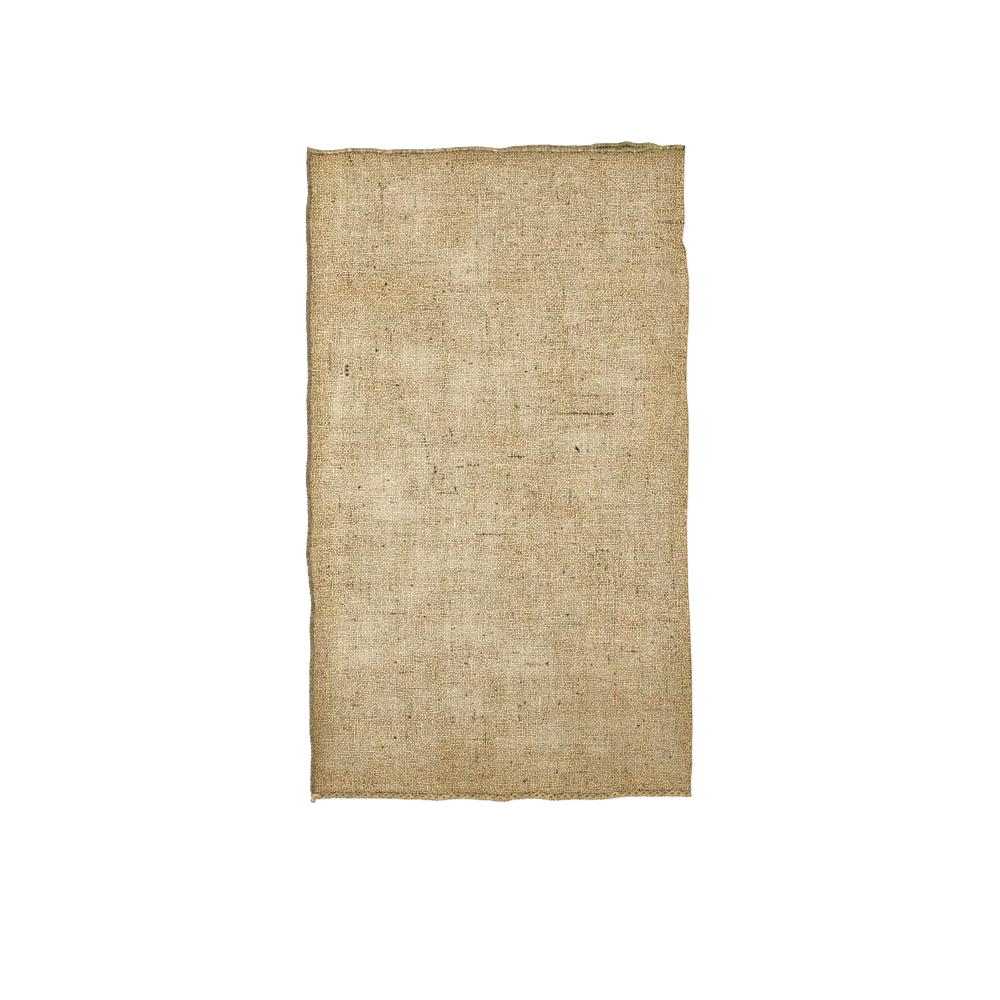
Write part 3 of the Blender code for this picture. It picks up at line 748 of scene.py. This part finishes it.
def make_selvedge(material):
    """The yarns that turn back at the mouth, and the outermost two that run along it."""
    rng = np.random.default_rng(41)
    parts = []
    first = left_of_cloth(MOUTH_EDGE) + SELVEDGE_START
    last = right_of_cloth(MOUTH_EDGE) - 1.8 * MM
    crimp = 0.20 * MM
    for front in (False, True):
        mouth = front_mouth if front else back_mouth

        def surface(px, py):
            inside = np.minimum(py, mouth(px) - 0.2 * MM)
            return top_of_front(px, inside) if front else seam_lift(px, inside) + CLOTH_THICK

        middle = np.arange(first, last, SELVEDGE_PITCH)
        parity = np.where(np.arange(len(middle)) % 2, -1.0, 1.0)[:, None]
        middle = (middle + rng.uniform(-0.22, 0.22, len(middle)) * MM)[:, None]
        t = np.linspace(-1, 1, 31)[None, :]
        foot = rng.uniform(4.4, 5.8, middle.shape) * MM
        high = rng.uniform(-0.6, 0.4, middle.shape) * MM
        lean = rng.uniform(-0.5, 0.5, middle.shape) * MM
        half = rng.uniform(0.46, 0.66, middle.shape) * MM
        down = np.abs(t) ** 1.25
        depth = foot * down - high * (1 - down) ** 5
        across = np.clip(t * 4.5, -1, 1)
        close = 1 - 0.5 * smooth_step((depth - 2.8 * MM) / (1.2 * MM))
        px = middle + half * (across * close + 0.3 * np.sin(PI * across)) + lean * (1 - down)
        py = mouth(px) - depth
        over_under = parity * np.cos(PI * (depth - SELVEDGE_ROWS[0]) / ALONG_PITCH)
        z = surface(px, py) + 0.16 * MM - crimp * over_under
        z = z - 0.75 * MM * smooth_step(down * 3.0 - 1.9)
        z = z - 0.75 * MM * smooth_step((0.9 * MM - depth) / (1.4 * MM))
        z = np.maximum(z, LOWEST_YARN)
        thick = 0.40 * MM * rng.uniform(0.80, 1.12, middle.shape)
        thick = thick * (1 - 0.35 * smooth_step(down * 2 - 1))
        parts.append(strands(np.stack([px, py, z], axis=-1), thick, 6))
        for k, row in enumerate(SELVEDGE_ROWS):
            x = np.arange(first - 1.0 * MM, last + 0.4 * MM, SELVEDGE_PITCH / 7)
            y = mouth(x) - row + 0.18 * value_noise(x, 0 * x, 5, 1000, 75 + k) * MM
            swing = np.cos(PI * (x - first) / SELVEDGE_PITCH + k * PI)
            z = np.maximum(surface(x, y) + 0.12 * MM + crimp * swing, LOWEST_YARN)
            thick = (0.46 + 0.10 * value_noise(x, 0 * x, 9, 1000, 77 + k)) * MM
            parts.append(strands(np.stack([x, y, z], axis=-1)[None], thick[None], 6))
    verts, faces, uvs = join_parts(parts)
    x, y = verts[:, 0], verts[:, 1]
    depth = np.minimum(abs(front_mouth(x) - y), abs(back_mouth(x) - y))
    tone = (1.14 - 0.70 * bell(depth, 0.9)) * (1 - 0.25 * smooth_step((depth - 2.8 * MM) / (0.8 * MM)))
    tone = tone * (1 + 0.50 * value_noise(x, y, 1.1, 1.2, 79))
    colours = strand_tints(verts, tone, highest=0.290)
    return mesh_object("mouth_selvedge_loops", verts, faces, uvs, material, colours)


def make_fold_turns(material):
    """The yarns that run across the sack, where each goes round the fold."""
    rng = np.random.default_rng(43)
    last = back_mouth(RIGHT_EDGE - 4 * MM) - 3.5 * MM
    y = np.arange(bottom_of_cloth(RIGHT_EDGE) + 1.0 * MM, last, ALONG_PITCH)
    y = (y + rng.uniform(-0.15, 0.15, len(y)) * MM)[:, None]
    angle = np.linspace(-0.62 * PI, 0.62 * PI, 11)[None, :]
    centre = right_of_cloth(y) - fold_radius(y)
    low = seam_lift(centre, y)
    high = low + 2 * CLOTH_THICK + layer_gap(centre, y)
    middle = (low + high) / 2
    thick = 0.46 * MM * rng.uniform(0.7, 1.35, y.shape)
    reach = fold_radius(y) - 0.45 * MM
    px = centre + reach * np.cos(angle)
    py = y + rng.uniform(-0.5, 0.5, y.shape) * MM * np.sin(angle)
    # past the half turn, each yarn sinks into the layer that it belongs to
    sunk = middle + np.sign(np.sin(angle)) * (reach - 0.28 * MM)
    pz = np.where(np.cos(angle) < 0, sunk, middle + reach * np.sin(angle))
    pz = np.maximum(pz, 0.5 * MM)
    verts, faces, uvs = strands(np.stack([px, py, pz], axis=-1), thick, 6, taper=0.5)
    return mesh_object("fold_yarn_turns", verts, faces, uvs, material, strand_tints(verts))


def make_slubs(material):
    """Thick places in single yarns, which stand out of the front layer."""
    rng = np.random.default_rng(47)
    across = rng.random(SLUBS) < 0.6
    x = rng.uniform(-0.165, 0.165, SLUBS)
    y = rng.uniform(-0.285, 0.285, SLUBS)[:, None]
    x = np.where(across, x, LEFT_EDGE + np.round((x - LEFT_EDGE) / ACROSS_PITCH) * ACROSS_PITCH)
    across, x = across[:, None], x[:, None]
    length = rng.uniform(5, 24, SLUBS)[:, None] * MM
    t = np.linspace(-0.5, 0.5, 22)[None, :]
    phase = rng.uniform(0, 6, SLUBS)[:, None]
    wave = 0.35 * MM * np.sin(phase + t * rng.uniform(2, 9, SLUBS)[:, None])
    along = t * length
    px = x + np.where(across, along, wave)
    py = y + np.where(across, wave, along)
    px = np.clip(px, left_of_cloth(py) + 5 * MM, right_of_cloth(py) - 6 * MM)
    py = np.clip(py, bottom_of_cloth(px) + 8 * MM, front_mouth(px) - 5 * MM)
    thick = rng.uniform(0.34, 0.66, SLUBS)[:, None] * MM
    swell = np.cos(PI * t) ** 0.7
    weave = np.sin(2 * PI * along / (2 * ACROSS_PITCH))
    z = top_of_front(px, py) - 0.46 * MM + 0.22 * MM * swell + 0.16 * MM * weave
    paths = np.stack([px, py, z], axis=-1)
    verts, faces, uvs = strands(paths, thick * (0.35 + 0.65 * swell), 6)
    tone = np.repeat(rng.uniform(0.80, 1.16, SLUBS), len(verts) // SLUBS)
    return mesh_object("slub_yarns", verts, faces, uvs, material, strand_tints(verts, tone, olive=0.0))


def make_flecks(material):
    """The listed flecks, then short broken runs along a yarn, and single ones."""
    rng = np.random.default_rng(53)
    rows = []

    def heading(upright):
        return (PI / 2 if upright else 0) + rng.normal(0, 0.3)

    for fleck in FLECKS:
        wide, high = fleck.x1_mm - fleck.x0_mm, fleck.y1_mm - fleck.y0_mm
        jitter = 0.25 if fleck.bits > 1 else 0.0
        thick = 0.54 + 0.30 * fleck.long_mm if fleck.bits > 4 else 0.70 + 0.48 * fleck.long_mm
        for k in range(fleck.bits):
            t = 0.5 if fleck.bits == 1 else k / (fleck.bits - 1)
            rows.append((
                fleck.x0_mm + wide * t + rng.normal(0, jitter),
                fleck.y0_mm + high * t + rng.normal(0, jitter),
                np.arctan2(high, wide) + rng.normal(0, 0.5),
                fleck.long_mm * rng.uniform(0.8, 1.35), thick * rng.uniform(0.8, 1.15),
            ))
    for _ in range(FLECK_RUNS):
        upright = rng.random() < 0.6
        x, y = rng.uniform(-160, 160), rng.uniform(-285, 285)
        step = rng.uniform(1.5, 3.2)
        for k in range(rng.integers(3, 10)):
            ahead = k * step + rng.normal(0, 0.3)
            x_now, y_now = (x, y + ahead) if upright else (x + ahead, y)
            rows.append((
                np.clip(x_now, -165, 165), np.clip(y_now, -288, 288), heading(upright),
                rng.uniform(0.6, 2.0), rng.uniform(0.34, 0.64),
            ))
    for _ in range(LONE_FLECKS):
        upright = rng.random() < 0.55
        rows.append((
            rng.uniform(-165, 165), rng.uniform(-288, 288), heading(upright),
            rng.uniform(0.8, 4.2), rng.uniform(0.30, 0.70),
        ))
    x, y, turn, long, thick = (column[:, None] for column in np.array(rows).T)
    x, y = x * MM, y * MM
    t = np.linspace(-0.5, 0.5, 6)[None, :]
    px = x + np.cos(turn) * long * MM * t
    py = y + np.sin(turn) * long * MM * t
    z = top_of_front(px, py) + 0.05 * MM
    radius = thick * MM * np.array([0.40, 0.85, 1.0, 0.9, 0.55, 0.25])
    radius = radius * rng.uniform(0.6, 1.25, radius.shape)
    verts, faces, uvs = strands(np.stack([px, py, z], axis=-1), radius, 6)
    # flattened on the cloth
    middle = np.repeat(top_of_front(x, y), 36)
    verts[:, 2] = middle + (verts[:, 2] - middle) * 0.45
    return mesh_object("bark_flecks", verts, faces, uvs, material)


def make_fuzz(material):
    """Loose fibre ends: along the outline and, sparser, over the front layer."""
    rng = np.random.default_rng(59)
    roots, heads, longs = [], [], []

    def edge_fibres(low, high, count, place, out, z_mm, spread=0.8, rise=0.1):
        """Fibres that stand out of an edge, with their roots at place(s), for s from low to high."""
        for s in rng.uniform(low, high, count):
            z = rng.uniform(*z_mm) if len(z_mm) == 2 else z_mm[0]
            roots.append((*place(s), z * MM))
            aside = rng.normal(0, spread)
            heads.append([aside if part is None else part for part in out] + [rng.normal(rise, 0.3)])
            longs.append(rng.gamma(3, 0.5) * MM)

    near = 0.3 * MM
    edge_fibres(-0.295, 0.29, 330, lambda y: (left_of_cloth(y) - near, y), (-1, None), (1.5, 4.0))
    edge_fibres(
        -0.295, 0.29, 420, lambda y: (right_of_cloth(y) - 0.1 * MM, y), (1, None), (1.2, 3.2)
    )
    edge_fibres(-0.168, 0.17, 260, lambda x: (x, bottom_of_cloth(x) - near), (None, -1), (1.5, 4.0))
    edge_fibres(
        -0.17, 0.166, 330, lambda x: (x, back_mouth(x) - near), (None, 1), (1.4,), 0.7, 0.15
    )
    for x, y in zip(rng.uniform(-0.168, 0.165, 1500), rng.uniform(-0.29, 0.285, 1500)):
        turn = rng.uniform(0, 2 * PI)
        roots.append((x, y, float(top_of_front(x, y) + 0.1 * MM)))
        heads.append((np.cos(turn), np.sin(turn), rng.uniform(0.05, 0.5)))
        longs.append(rng.gamma(3, 0.8) * MM)
    roots, heads, longs = np.array(roots), np.array(heads), np.array(longs)[:, None]
    heads /= np.linalg.norm(heads, axis=1, keepdims=True)
    t = np.linspace(0, 1, 6)
    curl = rng.normal(0, 0.5, (len(roots), 3)) * longs
    paths = roots[:, None] + heads[:, None] * (longs * t)[..., None]
    paths = paths + curl[:, None] * (t ** 2)[:, None]
    paths[..., 2] = np.maximum(paths[..., 2], 0.2 * MM)
    radius = 0.055 * MM * (1 - 0.75 * t) * rng.uniform(0.7, 1.3, longs.shape)
    verts, faces, uvs = strands(paths, radius, 3)
    return mesh_object("loose_fibres", verts, faces, uvs, material)


# ---------------------------------------------------------------- materials


class Value:
    """The value at a socket. The usual signs between values make math nodes."""

    def __init__(self, nodes, socket):
        self.nodes = nodes
        self.socket = socket

    def __add__(self, other):
        return self.nodes.math("ADD", self, other)

    def __sub__(self, other):
        return self.nodes.math("SUBTRACT", self, other)

    def __rsub__(self, other):
        return self.nodes.math("SUBTRACT", other, self)

    def __mul__(self, other):
        return self.nodes.math("MULTIPLY", self, other)

    def __truediv__(self, other):
        return self.nodes.math("DIVIDE", self, other)

    __radd__ = __add__
    __rmul__ = __mul__


class Nodes:
    """A material's node tree."""

    def __init__(self, name, roughness, specular=0.25):
        self.material = bpy.data.materials.new(name)
        self.material.use_nodes = True
        self.tree = self.material.node_tree
        self.shader = self.tree.nodes["Principled BSDF"]
        self.shader.inputs["Roughness"].default_value = roughness
        self.shader.inputs["Specular IOR Level"].default_value = specular

    def node(self, kind, values=(), **settings):
        """A new node, with values for its first inputs."""
        node = self.tree.nodes.new(kind)
        for key, value in settings.items():
            setattr(node, key, value)
        for socket, value in zip(node.inputs, values):
            self.put(socket, value)
        return node

    def out(self, node, output=0):
        return Value(self, node.outputs[output])

    def put(self, socket, value):
        if isinstance(value, Value):
            self.tree.links.new(value.socket, socket)
        else:
            socket.default_value = value

    def math(self, operation, *values):
        return self.out(self.node("ShaderNodeMath", values, operation=operation))

    def ramp(self, value, low, high, to_low=0.0, to_high=1.0, kind="SMOOTHSTEP"):
        values = (value, low, high, to_low, to_high)
        return self.out(self.node("ShaderNodeMapRange", values, interpolation_type=kind))

    def vector(self, place):
        """A place that is given as a value, or by two or three coordinates."""
        if isinstance(place, Value):
            return place
        return self.out(self.node("ShaderNodeCombineXYZ", place))

    def noise(self, place, scale=1.0, detail=2.0, rough=0.5):
        node = self.node("ShaderNodeTexNoise", [self.vector(place)], noise_dimensions="3D")
        for name, value in (("Scale", scale), ("Detail", detail), ("Roughness", rough)):
            node.inputs[name].default_value = value
        return self.out(node, "Fac")

    def random(self, place):
        node = self.node("ShaderNodeTexWhiteNoise", [self.vector(place)], noise_dimensions="3D")
        return self.out(node, "Value")

    def mix(self, factor, a, b, blend="MIX"):
        node = self.node("ShaderNodeMix", [factor], data_type="RGBA", blend_type=blend)
        for socket, colour in ((node.inputs[6], a), (node.inputs[7], b)):
            self.put(socket, colour if isinstance(colour, Value) else (*colour, 1.0))
        return self.out(node, 2)

    def tint(self, factor, colour, by):
        """Multiplies a colour by another, as far as the factor says."""
        return self.mix(factor, colour, self.mix(1.0, colour, by, "MULTIPLY"))

    def shade(self, colour, light):
        """Darkens a colour, and warms it as it darkens."""
        powers = [self.math("POWER", light, power) for power in (1.0, 1.18, 1.6)]
        dimmed = self.out(self.node("ShaderNodeCombineColor", powers))
        return self.mix(1.0, colour, dimmed, "MULTIPLY")

    def colours(self, value, stops):
        node = self.node("ShaderNodeValToRGB", [value])
        elements = node.color_ramp.elements
        while len(elements) < len(stops):
            elements.new(0.5)
        for element, (place, colour) in zip(elements, stops):
            element.position = place
            element.color = (*colour, 1.0)
        return self.out(node)

    def uv(self, name):
        place = self.out(self.node("ShaderNodeUVMap", uv_map=name))
        split = self.node("ShaderNodeSeparateXYZ", [place])
        return self.out(split, 0), self.out(split, 1)

    def masks(self, name):
        """The four channels of a colour attribute."""
        node = self.node("ShaderNodeAttribute", attribute_name=name, attribute_type="GEOMETRY")
        split = self.node("ShaderNodeSeparateColor", [self.out(node, "Color")])
        return *(self.out(split, channel) for channel in range(3)), self.out(node, "Alpha")

    def finish(self, colour, height=None, distance=0.0, strength=1.0):
        """Gives the shader its colour and bump, and returns the material."""
        self.put(self.shader.inputs["Base Color"], colour)
        if height is not None:
            bump = self.node("ShaderNodeBump")
            for name, value in (("Strength", strength), ("Distance", distance), ("Height", height)):
                self.put(bump.inputs[name], value)
            self.put(self.shader.inputs["Normal"], self.out(bump))
        return self.material


SHADOW = (0.072, 0.032, 0.002)
BROWN = (0.225, 0.140, 0.048)
TAN = (0.490, 0.370, 0.202)
CREAM = (0.700, 0.570, 0.372)
STRAW = (0.900, 0.795, 0.615)
YARN_TONES = [(0.06, SHADOW), (0.30, BROWN), (0.535, TAN), (0.76, CREAM), (1.0, STRAW)]
PALE_LIGHT_THROUGH = (0.740, 0.650, 0.460)
GAP_SHADOW = (0.032, 0.013, 0.001)
HOLE_SHADOW = (0.050, 0.022, 0.002)
FLOOR_LIGHT_THROUGH = (0.50, 0.43, 0.30)
OLIVE_TINT = (0.72, 0.86, 0.52)

# Plain weave: how far its crowns, pits and slits lie from the middle tone, and how askew
MIDDLE_TONE = 0.555
CROWN_HIGHLIGHT = 1.80
PIT_SHADE = 1.95
SWAY = 3.0
CROWN_LIGHT_AND_SHADE = 0.52
TURN_CONTRAST = 0.70
SLIT_CONTRAST = 0.18
ROW_SLIT = 0.18
SKEW = 0.04
TWIST_GLEAM = 0.55
STRAND_CONTRAST = 2.4
BACK_FROM = 0.36  # where the weave coordinate across the cloth comes to the back layer


def weave_material():
    n = Nodes("jute_cloth_weave", 0.9)
    u0, v0 = n.uv("weave")
    side = n.math("GREATER_THAN", u0, BACK_FROM)
    thin_map, warm, light, olive = n.masks("tint")
    from_mouth, from_bottom, _, _ = n.masks("edges")

    def centred(value, amount):
        return (value - 0.5) * amount

    def plain(*place):
        """Noise without fine detail."""
        return n.noise(place, 1.0, 1.0)

    def streaks(fine, coarse, seed):
        """Noise drawn out along the yarns that run up the sack, and along those across it."""
        return n.noise((u0 * fine, v0 * coarse, seed)), n.noise((u0 * coarse, v0 * fine, seed + 9.0))

    # slow drift of the yarns, and their small uneven spacing
    u = u0 + v0 * 0.035 + centred(n.noise((u0, v0), 9.0), 0.009)
    u = u + centred(n.noise((u0, v0, 7.0), 170.0, 1.0), 0.0006)
    v = v0 - u0 * 0.012 + centred(n.noise((v0, u0, 4.0), 9.0), 0.008)
    v = v + centred(n.noise((u0, v0, 9.0), 170.0, 1.0), 0.0006)
    uu, vv = u / ACROSS_PITCH, v / ALONG_PITCH
    i, j = n.math("FLOOR", uu), n.math("FLOOR", vv)
    near_i, near_j = n.math("ROUND", uu), n.math("ROUND", vv)
    su, sv, cu, cv = (n.math(wave, at * PI) for wave in ("SINE", "COSINE") for at in (uu, vv))
    side_u, side_v = n.math("SIGN", su), n.math("SIGN", sv)
    # each yarn swings from side to side, so that every crown lies askew
    fu = n.math("FRACT", uu) - 0.5 + side_u * cv * SKEW
    fv = n.math("FRACT", vv) - 0.5 - side_v * cu * SKEW
    # bands in which the yarns run thin: wide ones, and one or two yarns wide
    wide_up, wide_across = streaks(62.0, 12.0, 61.0)
    band_up, band_across = streaks(230.0, 16.0, 65.0)
    plaid = centred(wide_up, 1.0) + centred(wide_across, 1.0)
    plaid = plaid + centred(band_up, 0.7) + centred(band_across, 0.7)
    thin = n.ramp(thin_map * 0.60 + plaid, -0.27, 0.78, kind="LINEAR")

    def yarn_noises(number, near, apart, side_now, across, along, seed, key):
        """A yarn's own tone, thickness, turn, slit and hue, which change slowly along it."""
        tone = n.noise((number * apart, along * 17.0, seed + 3.0), rough=0.6)
        slub = n.noise((number * apart, along * 80.0, seed + 23.0), 1.0, 3.0, 0.6)
        # yarns lie lighter and darker by turns, most where the noise is strong
        turn = side_now * centred(plain(across * 230.0, along * 24.0, seed + 43.0), 1.0)
        slit = centred(plain(near * apart, along * 45.0, seed + 47.0), 1.4)
        slit = centred(n.random((near, key, 2.0)), 0.6) + slit
        return tone, slub, turn, slit, plain(number * apart, along * 9.0, seed + 83.0)

    tone_u, slub_u, own_u, slit_u, hue_u = yarn_noises(i, near_i, 1.37, side_u, u0, v0, 0.0, 5.0)
    tone_v, slub_v, own_v, slit_v, hue_v = yarn_noises(j, near_j, 1.71, side_v, v0, u0, 10.0, 7.0)
    # painted light and shade: each crown is painted lighter or darker by chance, and the pits at its
    # corners take the opposite, as shade thrown by a bulging crown
    left_i, low_j = near_i - 1.0, near_j - 1.0
    crown_highlight = centred(n.random((i, j, 1.0)), 1.4)
    corners = [(a, b, 1.0) for a in (near_i, left_i) for b in (near_j, low_j)]
    shade = sum(centred(n.random(corner), 0.7) for corner in corners)
    ajar = n.ramp(shade, 0.15, 0.80)
    half_u = 0.325 - ajar * 0.08 + own_u * 0.05 + centred(slub_u, 0.15) - thin * 0.06
    half_v = 0.345 - ajar * 0.10 + own_v * 0.05 + centred(slub_v, 0.15) - thin * 0.06

    def yarn_height(offset, half, crimp):
        inside = 1.0 - n.math("POWER", n.math("ABSOLUTE", offset) / half, 2.0)
        round_top = n.math("SQRT", n.math("MAXIMUM", inside, 0.0))
        outside = n.math("MINIMUM", inside, 0.0) * 8.0
        return crimp * 0.42 + round_top * 0.58 + outside

    high_u = yarn_height(fu, half_u, side_u * sv)
    high_v = yarn_height(fv, half_v, side_v * su * -1.0)
    top = n.math("MAXIMUM", high_u, high_v)
    up = n.math("GREATER_THAN", high_u, high_v)

    def on_top(of_up, of_across):
        """The one value on the yarns that run up the sack, the other on those across it."""
        return up * of_up + (1.0 - up) * of_across

    fibre_u = n.noise((u0 * 5200.0, v0 * 620.0, 2.0), rough=0.6)
    fibre_v = n.noise((u0 * 620.0, v0 * 5200.0, 6.0), rough=0.6)
    strand_u = n.noise((u0 * 1600.0, v0 * 950.0, 71.0), 1.0, 0.0)
    strand_v = n.noise((u0 * 950.0, v0 * 1600.0, 72.0), 1.0, 0.0)
    tone = on_top(
        centred(tone_u, 0.24) + centred(fibre_u, 0.24) + centred(strand_u, STRAND_CONTRAST),
        centred(tone_v, 0.24) + centred(fibre_v, 0.24) + centred(strand_v, STRAND_CONTRAST),
    )
    # the twist of the yarns catches the light along one diagonal
    gleam = centred(n.noise((u0, v0, 27.0), 70.0, 1.0), -TWIST_GLEAM)
    tone = tone + cu * cv * (gleam - 0.08)
    clouds = n.noise((u0, v0, 15.0), 14.0, 3.0)
    tone = tone + centred(clouds, 0.12) + centred(thin, 0.16)
    # single crowns are painted lighter and the pits beside them darker, as light and shade; whole
    # yarns or the slits between them lie lighter or darker
    crown_u, crown_v, pit_u, pit_v = su * su, sv * sv, cu * cu, cv * cv
    crown = crown_u * crown_v
    tone = tone + crown_highlight * CROWN_HIGHLIGHT * crown - shade * PIT_SHADE * (pit_u * pit_v)
    tone = tone + own_u * crown_u * TURN_CONTRAST + own_v * crown_v * TURN_CONTRAST
    tone = tone + slit_u * pit_u * SLIT_CONTRAST + slit_v * pit_v * SLIT_CONTRAST
    tone = tone + pit_v * ROW_SLIT
    # painted light and shade: the crowns of one set of yarns are lighter and those of the other
    # darker, by more at one place than at another
    sway = centred(n.noise((u0, v0, 37.0), 330.0, 1.0), SWAY)
    tone = tone + MIDDLE_TONE + (1.0 - up * 2.0) * (sway + CROWN_LIGHT_AND_SHADE) * crown
    yarn = n.colours(tone, YARN_TONES)
    # yarns, and whole places, are warmer or cooler
    hue = on_top(hue_u, hue_v)
    yarn = n.tint(n.ramp(hue, 0.50, 0.68, 0.0, 0.8), yarn, (1.03, 0.95, 0.86))
    yarn = n.tint(n.ramp(hue, 0.46, 0.32, 0.0, 0.8), yarn, (0.96, 1.01, 1.02))
    tinge = n.noise((u0, v0, 51.0), 70.0) + centred(wide_up, 0.35) - centred(wide_across, 0.35)
    yarn = n.tint(n.ramp(tinge, 0.54, 0.74, 0.0, 0.9), yarn, (1.065, 0.95, 0.95))
    yarn = n.tint(n.ramp(tinge, 0.46, 0.26, 0.0, 0.9), yarn, (0.935, 1.01, 0.83))
    yarn = n.tint(warm * 0.70 + (1.0 - thin) * 0.50, yarn, (1.0, 0.885, 0.66))
    # thin places: partly real, as the yarns run thinner there, and partly painted light, paler where
    # the floor's light shows through
    yarn = n.mix(thin * 0.42, yarn, PALE_LIGHT_THROUGH)
    # painted shade: each yarn is darker where it sinks between the crowns, and a little lighter on its
    # crown
    yarn = n.shade(yarn, n.ramp(top, -0.30, 0.95, 0.74, 1.04, "LINEAR"))
    # gaps between the yarns: painted shadow from inside the sack, turning to painted light from the
    # floor beneath where the cloth runs thin
    through = n.mix(n.ramp(thin, 0.25, 0.95, 0.0, 0.7), HOLE_SHADOW, FLOOR_LIGHT_THROUGH)
    cloth = n.mix(n.ramp(top, -0.10, -0.75), yarn, through)

    def gaps(at, seed, from_edge, row, scale, wander, jitter, aside, high, wide, rare):
        """Dark gaps along a row near an edge, counted by at. The last three are ramps."""
        pick = n.random((n.math("FLOOR", at), side, seed))
        line = from_edge + centred(n.noise((u0, v0), scale, 1.0), wander) + centred(pick, jitter)
        across = n.math("ABSOLUTE", n.math("FRACT", at) - 0.5 + centred(pick, aside))
        there = n.ramp(n.math("ABSOLUTE", line - row / MM), *high)
        return there * (n.ramp(across, *wide) * n.ramp(pick, *rare))

    # the open row below the selvedge's loops, and the needle holes of the bottom seam, painted dark
    # with the shadow inside them
    start = float(left_of_cloth(MOUTH_EDGE)) + SELVEDGE_START - LEFT_EDGE
    open_row = gaps(
        (u0 + (SELVEDGE_PITCH / 2 - start)) / SELVEDGE_PITCH, 5.0, from_mouth, SELVEDGE_GAPS,
        120.0, 0.8, 0.5, 0.2, (1.20, 0.80), (0.40, 0.28), (0.03, 0.2),
    )
    holes = gaps(
        u0 / (STITCH_PITCH / 2), 8.0, from_bottom, NEEDLE_ROW,
        90.0, 2.0, 1.0, 0.3, (0.80, 0.40), (0.27, 0.15), (0.12, 0.5),
    )
    cloth = n.mix(n.math("MAXIMUM", open_row, holes), cloth, GAP_SHADOW)
    cloth = n.tint(olive * 0.55, cloth, OLIVE_TINT)
    height = n.math("MAXIMUM", top, -0.6) + centred(n.math("MAXIMUM", fibre_u, fibre_v), 0.35)
    return n.finish(n.shade(cloth, light), height, 0.60 * MM)


def strand_material(name, roughness, colours, relief, tinted=True, greyed=0.0):
    """Fibres that wind along a strand, from dark to light in three colours."""
    n = Nodes(name, roughness)
    along, around = n.uv("strand")
    fibre = n.noise((along * 700.0, around * 9.0 + along * 900.0, 1.0), 1.0, 3.0, 0.6)
    patch = n.noise((along * 70.0, 0.0, 5.0))
    tone = 0.5 + (fibre - 0.5) * 0.9 + (patch - 0.5) * 0.9
    colour = n.colours(tone, list(zip((0.15, 0.5, 0.85), colours)))
    if tinted:
        grey, _, light, olive = n.masks("tint")
        colour = n.tint(grey * greyed, colour, (0.66, 0.78, 1.05))
        colour = n.shade(n.tint(olive * 0.6, colour, OLIVE_TINT), light)
    return n.finish(colour, fibre, relief, 0.7)


def bark_material():
    n = Nodes("jute_bark", 0.75, specular=0.0)
    along, around = n.uv("strand")
    grain = n.noise((along * 900.0, around * 5.0, 1.0))
    colour = n.colours(grain, [(0.25, (0.016, 0.004, 0.0)), (0.8, (0.050, 0.018, 0.001))])
    return n.finish(colour, grain, 0.1 * MM, 0.5)


def floor_material():
    n = Nodes("studio_floor", 0.95, specular=0.0)
    grain = n.noise(n.out(n.node("ShaderNodeNewGeometry"), "Position"), 60.0)
    n.shader.inputs["Emission Color"].default_value = (1.0, 1.0, 1.0, 1.0)
    n.shader.inputs["Emission Strength"].default_value = 0.22
    return n.finish(n.mix(grain, (0.90, 0.90, 0.90), (0.915, 0.915, 0.915)))


# ---------------------------------------------------------------- build

weave = weave_material()
YARN_COLOURS = [(0.24, 0.165, 0.085), (0.52, 0.42, 0.25), (0.82, 0.72, 0.50)]
TWINE_COLOURS = [(0.30, 0.20, 0.09), (0.62, 0.47, 0.25), (0.88, 0.76, 0.52)]
FIBRE_COLOURS = [(0.45, 0.33, 0.17), (0.65, 0.52, 0.30), (0.85, 0.74, 0.50)]
yarn = strand_material("jute_yarn", 0.9, YARN_COLOURS, 0.15 * MM)
twine = strand_material("jute_twine_plied", 0.85, TWINE_COLOURS, 0.2 * MM, greyed=0.8)
fibre = strand_material("jute_fibre", 0.7, FIBRE_COLOURS, 0.02 * MM, tinted=False)
bark = bark_material()

cloth = make_cloth(weave)
bottom_twine = make_bottom_seam(twine)
side_twine = make_side_seam(twine)
selvedge = make_selvedge(yarn)
turns = make_fold_turns(yarn)
slubs = make_slubs(yarn)
flecks = make_flecks(bark)
fuzz = make_fuzz(fibre)

for piece in (cloth, bottom_twine, side_twine, selvedge, turns, slubs, flecks, fuzz):
    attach(piece, "root")
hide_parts("sack_cloth")
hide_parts("bottom_seam")
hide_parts("side_seam")

# ---------------------------------------------------------------- floor, light, camera
bpy.ops.mesh.primitive_plane_add(size=8.0, location=(0, 0, -0.0002))
floor = bpy.context.object
floor.name = "studio_floor"
floor.data.materials.append(floor_material())

world = bpy.data.worlds.new("studio")
world.use_nodes = True
background = world.node_tree.nodes["Background"].inputs
background["Color"].default_value = (1.0, 1.0, 1.0, 1.0)
background["Strength"].default_value = 1.06
bpy.context.scene.world = world


def area_light(name, place, aim, size, power):
    data = bpy.data.lights.new(name, "AREA")
    data.shape = "DISK"
    data.size = size
    data.energy = power
    thing = bpy.data.objects.new(name, data)
    thing.location = place
    thing.rotation_euler = (Vector(aim) - Vector(place)).to_track_quat("-Z", "Y").to_euler()
    bpy.context.scene.collection.objects.link(thing)


area_light("softbox_left", (-2.2, 1.6, 1.9), (0, 0, 0), 0.9, 90)
area_light("softbox_right", (2.0, -1.6, 2.4), (0, 0, 0), 1.4, 9)

# straight down, with the photograph's millimetres to a pixel
VIEW_WIDTH = 0.92
LENS = 85
SENSOR = 36
camera_data = bpy.data.cameras.new("camera")
camera_data.lens = LENS
camera_data.sensor_width = SENSOR
camera = bpy.data.objects.new("camera", camera_data)
camera.location = (0.99 * MM, -25.37 * MM, VIEW_WIDTH * LENS / SENSOR)
camera.rotation_euler = (0, 0, 0)
bpy.context.scene.collection.objects.link(camera)
bpy.context.scene.camera = camera
bpy.context.scene.view_settings.view_transform = "Standard"
